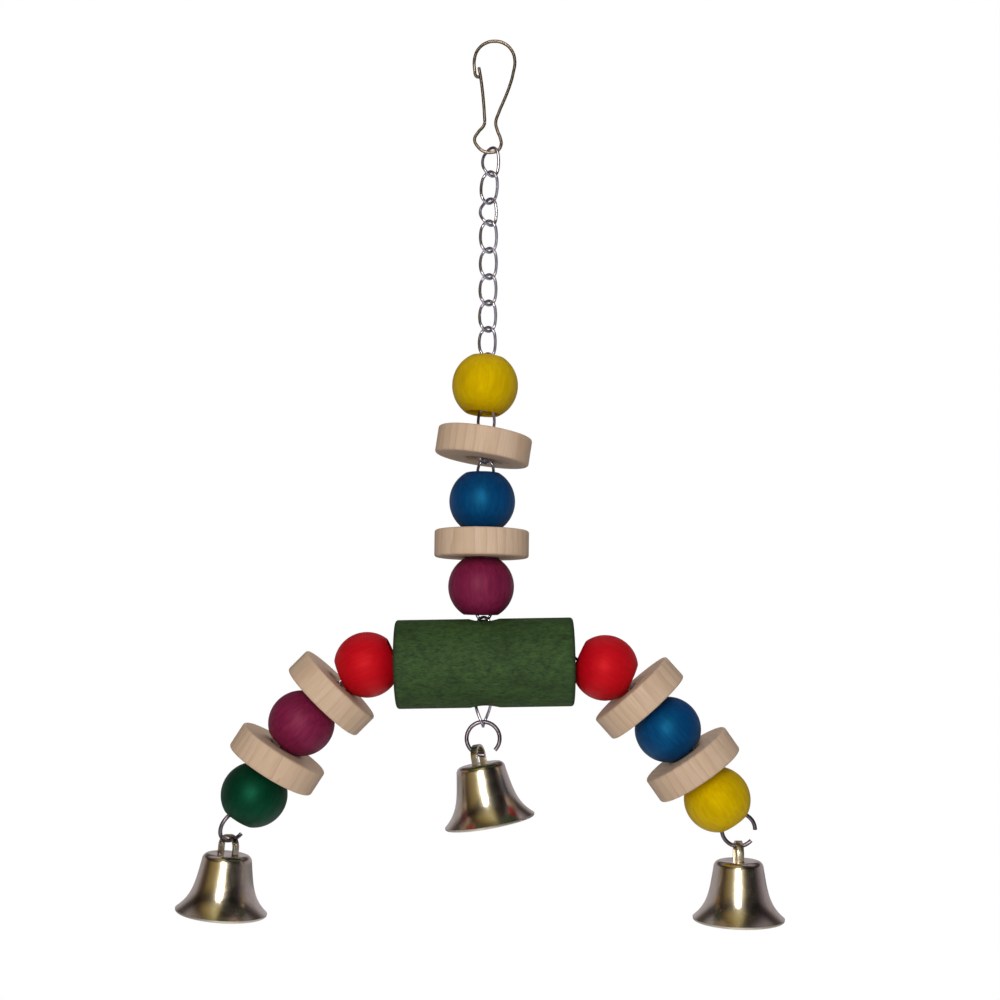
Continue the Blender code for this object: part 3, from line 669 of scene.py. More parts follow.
def wire(
    name: str,
    points: Sequence[Vector],
    diameter_mm: float,
    sides: int = 3,
    smooth: bool = False,
) -> bpy.types.Object:
    """Runs a round wire along a centreline.

    Args:
        name: The new object's name.
        points: The centreline, in metres.
        diameter_mm: The wire's thickness.
        sides: The curve's bevel resolution.
        smooth: Whether to bend the wire smoothly through the points.

    Returns:
        The wire as a mesh object.
    """
    data = empty_curve(name).data
    data.dimensions = "3D"
    data.bevel_depth = diameter_mm * MM / 2
    data.bevel_resolution = sides
    data.use_fill_caps = True
    data.resolution_u = 12
    if smooth:
        spline = data.splines.new("BEZIER")
        spline.bezier_points.add(len(points) - 1)
        for bezier, place in zip(spline.bezier_points, points):
            bezier.co = place
            bezier.handle_left_type = bezier.handle_right_type = "AUTO"
    else:
        spline = data.splines.new("POLY")
        spline.points.add(len(points) - 1)
        for point, place in zip(spline.points, points):
            point.co = (place[0], place[1], place[2], 1.0)
    bpy.ops.object.convert(target="MESH")
    obj = bpy.context.object
    weld()
    shade(obj, 45)
    return obj


def arc(
    across: float, up: float, radius: float, start_deg: float, end_deg: float, steps: int
) -> list[tuple[float, float]]:
    """Spaces points along an arc of a profile.

    Args:
        across: The centre's place across.
        up: The centre's height.
        radius: The arc's radius.
        start_deg: The angle that it starts at, from across towards up.
        end_deg: The angle that it ends at.
        steps: How many steps it takes.

    Returns:
        The points, one more than the steps, in the units given.
    """
    found = []
    for i in range(steps + 1):
        angle = math.radians(start_deg + (end_deg - start_deg) * i / steps)
        found.append((across + radius * math.cos(angle), up + radius * math.sin(angle)))
    return found


def combine(obj: bpy.types.Object, tool: bpy.types.Object, how: Boolean) -> None:
    """Cuts or joins one object with another, and removes the other.

    Args:
        obj: The object that stays.
        tool: The object that it is cut by or joined with.
        how: Whether it is cut or joined.
    """
    activate(obj)
    modifier = obj.modifiers.new("combine", "BOOLEAN")
    modifier.operation = how.value
    modifier.solver = "EXACT"
    modifier.object = tool
    bpy.ops.object.modifier_apply(modifier=modifier.name)
    bpy.data.objects.remove(tool, do_unlink=True)


def soften(obj: bpy.types.Object, width_mm: float, segments: int, angle_deg: float) -> None:
    """Breaks the edges that bend more than an angle.

    Args:
        obj: The object.
        width_mm: How wide the broken edge is.
        segments: How many facets it has.
        angle_deg: The angle.
    """
    activate(obj)
    modifier = obj.modifiers.new("soften", "BEVEL")
    modifier.width = width_mm * MM
    modifier.segments = segments
    modifier.limit_method = "ANGLE"
    modifier.angle_limit = math.radians(angle_deg)
    modifier.use_clamp_overlap = True
    bpy.ops.object.modifier_apply(modifier=modifier.name)
    shade(obj, 35)


def axes(x: Vector, z: Vector, origin: Vector) -> Matrix:
    """Makes a frame from two directions.

    Args:
        x: Roughly the frame's X.
        z: The frame's Z.
        origin: The frame's origin.

    Returns:
        The frame with this Z and the nearest X to the one given.
    """
    z = z.normalized()
    x = (x - x.dot(z) * z).normalized()
    y = z.cross(x)
    return Matrix.Translation(origin) @ Matrix((x, y, z)).transposed().to_4x4()


def mark_places(mesh: bpy.types.Mesh) -> None:
    """Notes each point's place in millimetres, for the materials' patterns.

    Args:
        mesh: The mesh, still in its own axes.
    """
    local = mesh.attributes.new("local_mm", "FLOAT_VECTOR", "POINT")
    for i, vertex in enumerate(mesh.vertices):
        local.data[i].vector = vertex.co / MM


# The toy's placed pieces


@dataclass
class Toy:
    """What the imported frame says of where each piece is, and the pieces made so far."""

    frame: dict[str, Any]
    pieces: list[bpy.types.Object] = field(default_factory=list)
    patterns: dict[str, bpy.types.Object] = field(default_factory=dict)
    seeds: tuple[float, float] = (0.5, 9.5)

    def joint(self, child: str) -> dict[str, Any]:
        """The joint that carries this body."""
        return next(j for j in self.frame["joints"] if j["child"] == child)

    def pivot(self, child: str) -> Vector:
        """The place of a body's joint."""
        return Vector(self.joint(child)["pos_m"])

    def axis(self, child: str) -> Vector:
        """The direction of a body's joint."""
        return Vector(self.joint(child)["axis"]).normalized()

    def body(self, node: str) -> str:
        """The body that a CAD node is in."""
        return str(self.frame["nodes"][node]["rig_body"])

    def corners(self, node: str) -> list[Vector]:
        """The vertices of a CAD node."""
        return [v.co.copy() for v in self.frame["nodes"][node].data.vertices]

    def middle(self, node: str) -> Vector:
        """The middle of a CAD node's box."""
        low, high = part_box(node)
        return (low + high) / 2

    def pattern(self, name: str, make: Callable[[], bpy.types.Object]) -> bpy.types.Object:
        """Finds a master piece, or makes it on its first use.

        Args:
            name: The name that it is kept under.
            make: What makes it.

        Returns:
            The master piece in its own axes, which never renders.
        """
        if name not in self.patterns:
            self.patterns[name] = make()
            mark_places(self.patterns[name].data)
        return self.patterns[name]

    def place(
        self,
        name: str,
        pattern: bpy.types.Object,
        where: Matrix,
        finish: Finish,
        body: str,
        nodes: Iterable[str],
    ) -> bpy.types.Object:
        """Puts a copy of a master piece in the toy.

        Args:
            name: The new piece's name.
            pattern: The master piece.
            where: The piece's frame in the toy.
            finish: The finish that it is painted with.
            body: The CAD body that it moves with.
            nodes: The CAD nodes that it stands for.

        Returns:
            The placed piece.
        """
        mesh = pattern.data.copy()
        mesh.transform(where)
        seed = mesh.attributes.new("seed", "FLOAT", "POINT")
        value = random.Random(name).uniform(*self.seeds)
        seed.data.foreach_set("value", [value] * len(mesh.vertices))
        mesh.materials.clear()
        mesh.materials.append(PAINT.of(finish))
        piece = bpy.data.objects.new(name, mesh)
        bpy.context.scene.collection.objects.link(piece)
        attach(piece, body)
        nodes = list(nodes)
        if nodes:
            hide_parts(*nodes)
        self.pieces.append(piece)
        return piece

    def drop_patterns(self) -> None:
        """Removes the master pieces."""
        for pattern in self.patterns.values():
            bpy.data.objects.remove(pattern, do_unlink=True)
        self.patterns.clear()

    def report(self) -> None:
        """Logs each piece's size."""
        for piece in self.pieces:
            low = [min(v.co[i] for v in piece.data.vertices) for i in range(3)]
            high = [max(v.co[i] for v in piece.data.vertices) for i in range(3)]
            size = " x ".join(f"{(b - a) / MM:.1f}" for a, b in zip(low, high))
            LOG.info("%-28s %s mm, %d faces", piece.name, size, len(piece.data.polygons))


@dataclass(frozen=True)
class LinkPattern:
    """One curb link: a stadium of wire twisted a quarter turn, with its butt joint in one leg."""

    wire_mm: float = 0.92
    width_mm: float = 5.82
    pitch_mm: float = 8.0
    clearance_mm: float = 0.28
    butt_gap_mm: float = 0.07
    twist_ease: float = 0.15
    crown_steps: int = 14
    leg_steps: int = 9

    def centreline(self) -> list[Vector]:
        """Draws the wire's centreline.

        Returns:
            Its points in metres, starting and ending at the butt joint.
        """
        reach = self.pitch_mm / 2 + (self.wire_mm + self.clearance_mm) / 2
        radius = (self.width_mm - self.wire_mm) / 2
        high = reach - radius
        gap = self.butt_gap_mm / 2
        steps = self.leg_steps
        flat = [(radius, gap + (high - gap) * i / (steps + 1)) for i in range(steps + 1)]
        flat += arc(0, high, radius, 0, 180, self.crown_steps)
        flat += [(-radius, high - high * i / steps) for i in range(1, 2 * steps)]
        flat += arc(0, -high, radius, 180, 360, self.crown_steps)
        flat += [(radius, (high - gap) * (i + 1) / (steps + 1) - high) for i in range(steps + 1)]
        points = []
        for x, z in flat:
            share = z / reach
            turn = -math.pi / 4 * share * (1 + self.twist_ease - self.twist_ease * share**2)
            points.append(Vector((x * math.cos(turn), x * math.sin(turn), z)) * MM)
        return points

    def make(self) -> bpy.types.Object:
        """The link in its own axes, its length along Z."""
        return wire("link_pattern", self.centreline(), self.wire_mm)


@dataclass
class Chain:
    """The main chain and the two arms' chains, every link its own piece."""

    toy: Toy
    single_links: tuple[int, ...] = (1, 2, 3, 4, 5, 6, 7, 8, 18, 19, 20)
    straight_links: int = 2
    stack_links: int = 9
    middle_links: int = 3
    outer_links: int = 4
    ring_reach_mm: float = 4.25
    left_roll_deg: float = 55.0

    def fitted(self, node: str) -> Matrix:
        """Finds the frame of a CAD link from how its vertices are spread.

        Args:
            node: The link's node.

        Returns:
            The frame at its middle, with Z along it and X across its face.
        """
        corners = self.toy.corners(node)
        centre = sum(corners, Vector()) / len(corners)
        spread = [[0.0] * 3 for _ in range(3)]
        for corner in corners:
            offset = corner - centre
            for i in range(3):
                for k in range(3):
                    spread[i][k] += offset[i] * offset[k] / MM**2
        long = self.leading(Matrix(spread))
        rest = Matrix(spread)
        share = (rest @ long).dot(long)
        for i in range(3):
            for k in range(3):
                rest[i][k] -= share * long[i] * long[k]
        return axes(self.leading(rest), long, centre)

    @staticmethod
    def leading(matrix: Matrix) -> Vector:
        """Finds the main direction of a symmetric matrix, by turning a guess towards it.

        Args:
            matrix: The matrix.

        Returns:
            The direction of its largest spread.
        """
        guess = Vector((0.31, 0.17, 0.93))
        for _ in range(400):
            guess = (matrix @ guess).normalized()
        return guess

    def put(self, name: str, node: str, where: Matrix, nodes: Sequence[str]) -> None:
        """Puts one link in the toy.

        Args:
            name: The piece's name.
            node: The CAD node whose body it rides on.
            where: The link's frame.
            nodes: The CAD nodes that it stands for.
        """
        pattern = self.toy.pattern("link", LinkPattern().make)
        self.toy.place(name, pattern, where, CHAIN_NICKEL, self.toy.body(node), nodes)

    def single(self, node: str) -> None:
        """A link that is a CAD node of its own."""
        self.put(f"{node}_wire", node, self.fitted(node), [node])

    def run(self, node: str, start: Vector, end: Vector, count: int, side: Vector, roll: float) -> None:
        """Lays the links of a joined CAD run, from contact to contact.

        Args:
            node: The run's node.
            start: Where the first link hangs.
            end: Where the last one ends.
            count: How many links there are.
            side: The direction across the first link's face, before any roll.
            roll: How far the last link is turned about the run, shared out among them all.
        """
        step = (end - start) / count
        for i in range(count):
            where = axes(side, -step, start + step * (i + 0.5))
            where = where @ Matrix.Rotation(roll * (i + 1) / count, 4, "Z")
            self.put(f"{node}_link_{i + 1}", node, where, [node] if i == 0 else [])

    def build(self) -> None:
        """Lays every link."""
        for number in self.single_links:
            self.single(f"chain_link_{number}")
        self.single("chain_crossing_link")
        self.single("chain_tail_link")
        top, bottom = self.toy.pivot("column"), self.toy.pivot("perch")
        line = (bottom - top) / (self.straight_links + self.stack_links)
        start = top + line * self.straight_links
        self.run("column_chain", start, bottom, self.stack_links, RIGHT, 0.0)
        for side in Side:
            name = side.name.lower()
            self.single(f"{name}_root_link")
            middle, outer = self.toy.pivot(f"{name}_middle"), self.toy.pivot(f"{name}_outer")
            ring = self.toy.pivot(f"{name}_ring")
            self.run(f"{name}_middle_chain", middle, outer, self.middle_links, BACK, 0.0)
            turn = math.radians(self.left_roll_deg) if side is Side.LEFT else 0.0
            end = ring - (ring - outer).normalized() * self.ring_reach_mm * MM
            self.run(f"{name}_outer_chain", outer, end, self.outer_links, BACK, turn - math.pi / 4)
            self.inner(name)

    def inner(self, name: str) -> None:
        """Paints the run hidden in the perch, which keeps its CAD shape.

        Args:
            name: The arm's name.
        """
        node = self.toy.frame["nodes"][f"{name}_inner_chain"]
        mark_places(node.data)
        node.data.materials.clear()
        node.data.materials.append(PAINT.of(CHAIN_NICKEL))


@dataclass
class Hook:
    """The formed wire snap hook and its sprung gate, as shares of its width, length and depth."""

    toy: Toy
    wire_mm: float = 0.96
    length_mm: float = 33.9
    width_mm: float = 12.2
    catch_depth_mm: float = 1.3
    top_mm: float = 0.43
    catch: tuple[tuple[float, float, float], ...] = (
        (-0.357, 0.305, 1.0), (-0.455, 0.300, 0.8), (-0.494, 0.255, 0.2),
    )
    bow: tuple[tuple[float, float], ...] = (
        (-0.490, 0.145), (-0.383, 0.063), (-0.190, 0.013), (0.0, 0.0), (0.217, 0.015),
        (0.407, 0.070), (0.507, 0.162), (0.462, 0.298), (0.370, 0.413), (0.243, 0.529),
        (0.107, 0.644), (0.033, 0.731), (0.074, 0.803), (0.152, 0.877), (0.167, 0.932),
        (0.088, 0.981), (-0.082, 1.0), (-0.267, 0.990), (-0.430, 0.941), (-0.497, 0.885),
        (-0.405, 0.818), (-0.275, 0.764), (-0.238, 0.731),
    )
    gate: tuple[tuple[float, float], ...] = (
        (-0.240, 0.722), (-0.272, 0.547), (-0.317, 0.393), (-0.355, 0.300), (-0.388, 0.238),
    )

    def make(self, points: Sequence[tuple[float, ...]]) -> bpy.types.Object:
        """Bends a wire through a run of points.

        Args:
            points: Across, down and, if it isn't nought, back, each as a share.

        Returns:
            The bent wire.
        """
        line = []
        for x, z, *back in points:
            depth = (back[0] if back else 0.0) * self.catch_depth_mm
            line.append(Vector((x * self.width_mm, depth, self.top_mm - z * self.length_mm)) * MM)
        return wire("hook_pattern", line, self.wire_mm, sides=4, smooth=True)

    def build(self) -> None:
        """Makes the frame and the gate."""
        here = Matrix.Identity(4)
        for node, points in (("hook_frame", self.catch + self.bow), ("hook_gate", self.gate)):
            pattern = self.toy.pattern(node, lambda points=points: self.make(points))
            self.toy.place(f"{node}_wire", pattern, here, HOOK_NICKEL, self.toy.body(node), [node])


class Turning(Enum):
    """The turned shapes."""

    BEAD = "bead"
    DISC = "disc"
    PERCH = "perch"


@dataclass
class TurnedWood:
    """Drilled beads, discs and the perch."""

    toy: Toy
    bead_mm: float = 20.0
    disc_mm: float = 28.7
    disc_thickness_mm: float = 8.2
    disc_edge_mm: float = 0.75
    bore_mm: float = 9.34
    mouth_mm: float = 0.53
    perch_mm: float = 27.0
    perch_length_mm: float = 53.7
    perch_edge_mm: float = 0.9
    perch_turn_deg: float = -0.9
    loose_bead_tilt_deg: float = 5.0
    segments: int = 96
    perch_segments: int = 128
    sharp_deg: float = 50.0

    def bead(self) -> bpy.types.Object:
        """Turns a ball with a reamed bore.

        Returns:
            The bead, with a soft mouth at both ends.
        """
        radius, bore = self.bead_mm / 2, self.bore_mm / 2
        rim = math.degrees(math.asin((bore + self.mouth_mm) / radius))
        outer = arc(0, 0, radius, 90 - rim, rim - 90, 40)
        end = radius * math.cos(math.radians(rim))
        lower = [(bore + 0.28, 0.28 - end), (bore + 0.08, 0.56 - end), (bore, 0.9 - end)]
        upper = [(x, -z) for x, z in reversed(lower)]
        shaft = [(bore, -end / 2), (bore, 0), (bore, end / 2)]
        profile = outer + lower + shaft + upper
        return lathe("bead_pattern", profile, self.segments, False, self.sharp_deg)

    def disc(self) -> bpy.types.Object:
        """Turns a dowel slice.

        Returns:
            The disc, with sanded edges.
        """
        radius, half, bore = self.disc_mm / 2, self.disc_thickness_mm / 2, self.bore_mm / 2
        edge, mouth = self.disc_edge_mm, self.mouth_mm
        faces = [(bore + mouth, half), (bore + 2.5, half), (radius - 3.0, half)]
        profile = faces + arc(radius - edge, half - edge, edge, 90, 0, 5)
        profile += [(radius, half / 2), (radius, 0), (radius, -half / 2)]
        profile += arc(radius - edge, edge - half, edge, 0, -90, 5)
        profile += [(x, -z) for x, z in reversed(faces)]
        profile += [(bore + 0.15, 0.2 - half), (bore, mouth - half), (bore, 0)]
        profile += [(bore, half - mouth), (bore + 0.15, half - 0.2)]
        return lathe("disc_pattern", profile, self.segments, False, self.sharp_deg)

    def perch(self) -> bpy.types.Object:
        """Turns the perch and drills it across its middle.

        Returns:
            The bored dowel, its length along Z.
        """
        radius, half, bore = self.perch_mm / 2, self.perch_length_mm / 2, self.bore_mm / 2
        edge, mouth = self.perch_edge_mm, self.mouth_mm
        faces = [(bore + mouth, half), (bore + 3, half), (radius - 3, half)]
        profile = faces + arc(radius - edge, half - edge, edge, 90, 0, 6)
        profile += [(radius, half * k / 12) for k in range(11, -12, -1)]
        profile += arc(radius - edge, edge - half, edge, 0, -90, 6)
        profile += [(x, -z) for x, z in reversed(faces)]
        profile += [(bore, mouth - half), (bore, half - mouth)]
        body = lathe("perch_pattern", profile, self.perch_segments, False, self.sharp_deg)
        deselect()
        bpy.ops.mesh.primitive_cylinder_add(
            vertices=72, radius=bore * MM, depth=2.4 * radius * MM, rotation=(0, math.pi / 2, 0)
        )
        combine(body, bpy.context.object, Boolean.CUT)
        shade(body, 35)
        return body

    def put(self, node: str, shape: Turning, where: Matrix, finish: Finish, roll_deg: float) -> None:
        """Puts one drilled piece in place of its CAD node.

        Args:
            node: The CAD node.
            shape: The turned shape.
            where: The piece's frame, with Z along its bore.
            finish: The finish that it is painted with.
            roll_deg: How far it is turned about its bore.
        """
        make = {Turning.BEAD: self.bead, Turning.DISC: self.disc, Turning.PERCH: self.perch}[shape]
        pattern = self.toy.pattern(shape.value, make)
        rolled = where @ Matrix.Rotation(math.radians(roll_deg), 4, "Z")
        self.toy.place(f"{node}_wood", pattern, rolled, finish, self.toy.body(node), [node])

    def spun(self, node: str, shape: Turning, finish: Finish, roll_deg: float) -> None:
        """Puts a piece that turns about its bore, placed by its own joint."""
        body = self.toy.body(node)
        self.put(node, shape, axes(BACK, self.toy.axis(body), self.toy.pivot(body)), finish, roll_deg)

    def build(self) -> None:
        """Puts in every drilled piece."""
        tilt = Matrix.Rotation(math.radians(self.loose_bead_tilt_deg), 3, "Y")
        line = tilt @ self.toy.axis("bead_yellow_top")
        where = axes(BACK, line, self.toy.middle("bead_yellow_top"))
        self.put("bead_yellow_top", Turning.BEAD, where, YELLOW_STAIN, 20)
        self.spun("disc_upper", Turning.DISC, BARE_BEECH, 35)
        self.spun("bead_blue_top", Turning.BEAD, BLUE_STAIN, 0)
        self.spun("disc_lower", Turning.DISC, BARE_BEECH, 140)
        self.spun("bead_purple_top", Turning.BEAD, PURPLE_STAIN, 50)
        turn = Matrix.Rotation(math.radians(self.perch_turn_deg), 3, "Y")
        where = axes(turn @ UP, turn @ RIGHT, self.toy.middle("perch_dowel"))
        self.put("perch_dowel", Turning.PERCH, where, PERCH_STAIN, 0)
        arms = {
            Side.LEFT: (("bead_purple", PURPLE_STAIN), ("bead_green", GREEN_STAIN)),
            Side.RIGHT: (("bead_blue", BLUE_STAIN), ("bead_yellow", YELLOW_STAIN)),
        }
        for side, (inner, outer) in arms.items():
            name = side.name.lower()
            self.spun(f"{name}_bead_red", Turning.BEAD, RED_STAIN, 70 * side.value)
            self.spun(f"{name}_disc_inner", Turning.DISC, BARE_BEECH, 80 + 60 * side.value)
            self.spun(f"{name}_{inner[0]}", Turning.BEAD, inner[1], 10)
            self.spun(f"{name}_disc_outer", Turning.DISC, BARE_BEECH, 200 + 45 * side.value)
            self.spun(f"{name}_{outer[0]}", Turning.BEAD, outer[1], 100)


@dataclass
class Rings:
    """The three open jump rings."""

    toy: Toy
    wire_mm: float = 1.25
    outer_mm: float = 11.3
    opening_deg: float = 40.0
    drop_mm: float = 3.65
    end_edge_mm: float = 0.12
    segments: int = 72

    def make(self) -> bpy.types.Object:
        """Bends one ring.

        Returns:
            The ring in its XZ plane, cut open at +X.
        """
        radius = (self.outer_mm - self.wire_mm) / 2
        half = self.opening_deg / 2
        turn = arc(0, 0, radius, half, 360 - half, self.segments)
        ring = wire("ring_pattern", [Vector((x * MM, 0, z * MM)) for x, z in turn], self.wire_mm, sides=4)
        soften(ring, self.end_edge_mm, 2, 60)
        return ring

    def put(self, node: str, centre: Vector) -> None:
        """Puts in a ring whose cut faces away from the middle of the CAD ring's wire.

        Args:
            node: The CAD ring.
            centre: The ring's centre.
        """
        corners = self.toy.corners(node)
        towards = centre - sum(corners, Vector()) / len(corners)
        normal = Vector()
        for first, second in zip(corners, corners[7:]):
            cross = (first - centre).cross(second - centre)
            normal += cross if cross.dot(normal) >= 0 else -cross
        where = axes(towards, normal.cross(towards), centre)
        pattern = self.toy.pattern("ring", self.make)
        self.toy.place(f"{node}_wire", pattern, where, RING_STEEL, self.toy.body(node), [node])

    def build(self) -> None:
        """Puts in all three rings."""
        drop = Vector((0, 0, -self.drop_mm * MM))
        self.put("centre_jump_ring", self.toy.pivot("centre_ring") + drop)
        for side in Side:
            name = side.name.lower()
            self.put(f"{name}_jump_ring", self.toy.pivot(f"{name}_ring"))


@dataclass
class Bell:
    """A pressed bell: its shell, the strap through the crown and the clapper on it."""

    toy: Toy
    spot: Hanging
    lip_mm: float = 27.6
    height_mm: float = 18.1
    wall_mm: float = 0.8
    crown_mm: float = 15.0
    shoulder_mm: float = 2.0
    cap_mm: float = 1.5
    roll_mm: float = 0.75
    wall_steps: int = 24
    flare_power: float = 4.2
    flare_share: float = 0.60
    strap_height_mm: float = 6.0
    strap_width_mm: float = 7.6
    strap_breadth_mm: float = 2.0
    strap_thickness_mm: float = 0.8
    strap_depth_mm: float = 3.6
    strap_edge_mm: float = 0.15
    slot_play_mm: float = 0.4
    clapper_ball_mm: float = 5.6
    clapper_wire_mm: float = 0.8
    clapper_length_mm: float = 12.39
    clapper_play_mm: float = 0.3
    eye_arc_deg: tuple[float, float] = (-50.0, 258.0)
    segments: int = 112

    def shell(self) -> bpy.types.Object:
        """Presses the shell and cuts its two slots.

        Returns:
            The shell below its crown, with a rolled lip and its inside marked.
        """
        crown, lip, wall = self.crown_mm / 2, self.lip_mm / 2, self.wall_mm
        high, shoulder = self.height_mm, self.shoulder_mm
        wall_line = self.wall_line()
        outer = [(self.cap_mm, 0.0), (crown - shoulder - 0.6, 0.0)]
        outer += arc(crown - shoulder, -shoulder, shoulder, 90, 10, 8)
        roll = [(lip - 0.02, 0.55 - high), (lip - 0.10, 0.22 - high), (lip - 0.35, -high)]
        inner = [(lip - 0.65, 0.10 - high)]
        inner += [(radius - wall, z) for radius, z in reversed(wall_line[:-1])]
        inner += [(crown - wall, -shoulder - 0.4), (crown - shoulder, -wall), (self.cap_mm, -wall)]
        body = lathe("bell_pattern", outer + wall_line + roll + inner, self.segments, True, 40)
        for direction in (-1, 1):
            self.slot(body, direction)
        shade(body, 35)
        inside = body.data.attributes.new("inside", "FLOAT", "POINT")
        for i, vertex in enumerate(body.data.vertices):
            out = Vector((vertex.co.x, vertex.co.y, 0.0)).normalized()
            faces_in = vertex.normal.dot(out) < -0.1
            under_crown = vertex.normal.z < -0.9 and vertex.co.z > -2 * MM
            inside.data[i].value = 1.0 if faces_in or under_crown else 0.0
        return body

    def slot(self, body: bpy.types.Object, direction: int) -> None:
        """Cuts one of the crown's two slots for the strap.

        Args:
            body: The shell.
            direction: Which side it is on, -1 or 1.
        """
        deselect()
        middle = direction * (self.strap_width_mm - self.strap_thickness_mm) / 2
        bpy.ops.mesh.primitive_cube_add(size=1, location=(middle * MM, 0, -self.wall_mm / 2 * MM))
        cutter = bpy.context.object
        play = self.slot_play_mm
        sides = (self.strap_thickness_mm + play, self.strap_breadth_mm + play, 3 * self.wall_mm)
        cutter.scale = [side * MM for side in sides]
        bpy.ops.object.transform_apply(location=True, rotation=False, scale=True)
        combine(body, cutter, Boolean.CUT)

    def wall_line(self) -> list[tuple[float, float]]:
        """Draws the outside of the wall below the shoulder.

        Returns:
            The points in millimetres, nearly straight, then turned out to the lip.
        """
        crown, start = self.crown_mm / 2, self.shoulder_mm
        grows = self.lip_mm / 2 - crown
        found = []
        for i in range(1, self.wall_steps + 1):
            down = i / self.wall_steps
            share = (1 - self.flare_share) * down + self.flare_share * down**self.flare_power
            fall = (self.height_mm - self.roll_mm - start) * down
            found.append((crown + grows * share, -start - fall))
        return found

    def strap(self) -> bpy.types.Object:
        """Bends the strap.

        Returns:
            A flat band closed in an upright oval, its edges broken.
        """
        data = empty_curve("strap_pattern").data
        data.dimensions = "2D"
        data.fill_mode = "BOTH"
        data.extrude = self.strap_breadth_mm * MM / 2
        for inset in (0.0, self.strap_thickness_mm):
            half = self.strap_width_mm / 2 - inset
            points = arc(0, self.strap_height_mm - inset - half, half, 0, 180, 20)
            points += arc(0, inset + half - self.strap_depth_mm, half, 180, 360, 20)
            spline = data.splines.new("POLY")
            spline.points.add(len(points) - 1)
            for point, (x, z) in zip(spline.points, points):
                point.co = (x * MM, z * MM, 0, 1)
            spline.use_cyclic_u = True
        bpy.ops.object.convert(target="MESH")
        obj = bpy.context.object
        obj.rotation_euler = (math.pi / 2, 0, 0)
        bpy.ops.object.transform_apply(location=False, rotation=True, scale=False)
        weld()
        soften(obj, self.strap_edge_mm, 3, 60)
        return obj

    def clapper(self) -> bpy.types.Object:
        """Makes the clapper.

        Returns:
            A ball on a wire whose eye closes round the strap's lower bow.
        """
        thick, length = self.clapper_wire_mm, self.clapper_length_mm
        strap = math.hypot(self.strap_breadth_mm, self.strap_thickness_mm)
        eye = strap / 2 + self.clapper_play_mm + thick / 2
        line = [Vector((0, y, z)) for y, z in arc(0, 0, eye, *self.eye_arc_deg, 40)]
        line += [Vector((0, -0.25 * eye, -eye - 0.35)), Vector((0, 0, -eye - 1.0))]
        line.append(Vector((0, 0, -length)))
        made = wire("clapper_pattern", [place * MM for place in line], thick)
        deselect()
        radius = self.clapper_ball_mm / 2 * MM
        bpy.ops.mesh.primitive_uv_sphere_add(
            segments=40, ring_count=24, radius=radius, location=(0, 0, -length * MM)
        )
        combine(made, bpy.context.object, Boolean.JOIN)
        shade(made, 40)
        return made

    def build(self) -> None:
        """Puts in the bell's three pieces, placed by its two joints."""
        bell, clapper = f"bell_{self.spot.value}", f"clapper_{self.spot.value}"
        hang, bow = self.toy.pivot(bell), self.toy.pivot(clapper)
        across, down = self.toy.axis(clapper), (bow - hang).normalized()
        crown = bow - down * (self.strap_depth_mm - self.strap_thickness_mm / 2) * MM
        parts = (("shell", self.shell, crown), ("strap", self.strap, crown), ("clapper", self.clapper, bow))
        for part, make, place in parts:
            node = f"{bell}_{part}"
            pattern = self.toy.pattern(f"bell_{part}", make)
            where = axes(across, -down, place)
            self.toy.place(f"{node}_plate", pattern, where, BELL_NICKEL, self.toy.body(node), [node])


# The studio


@dataclass(frozen=True)
class SoftBox:
    """A flat soft light."""

    name: str
    place: tuple[float, float, float]
    size: tuple[float, float]
    watts: float
    colour: str = "#FFFFFF"
    mirrored: bool = True


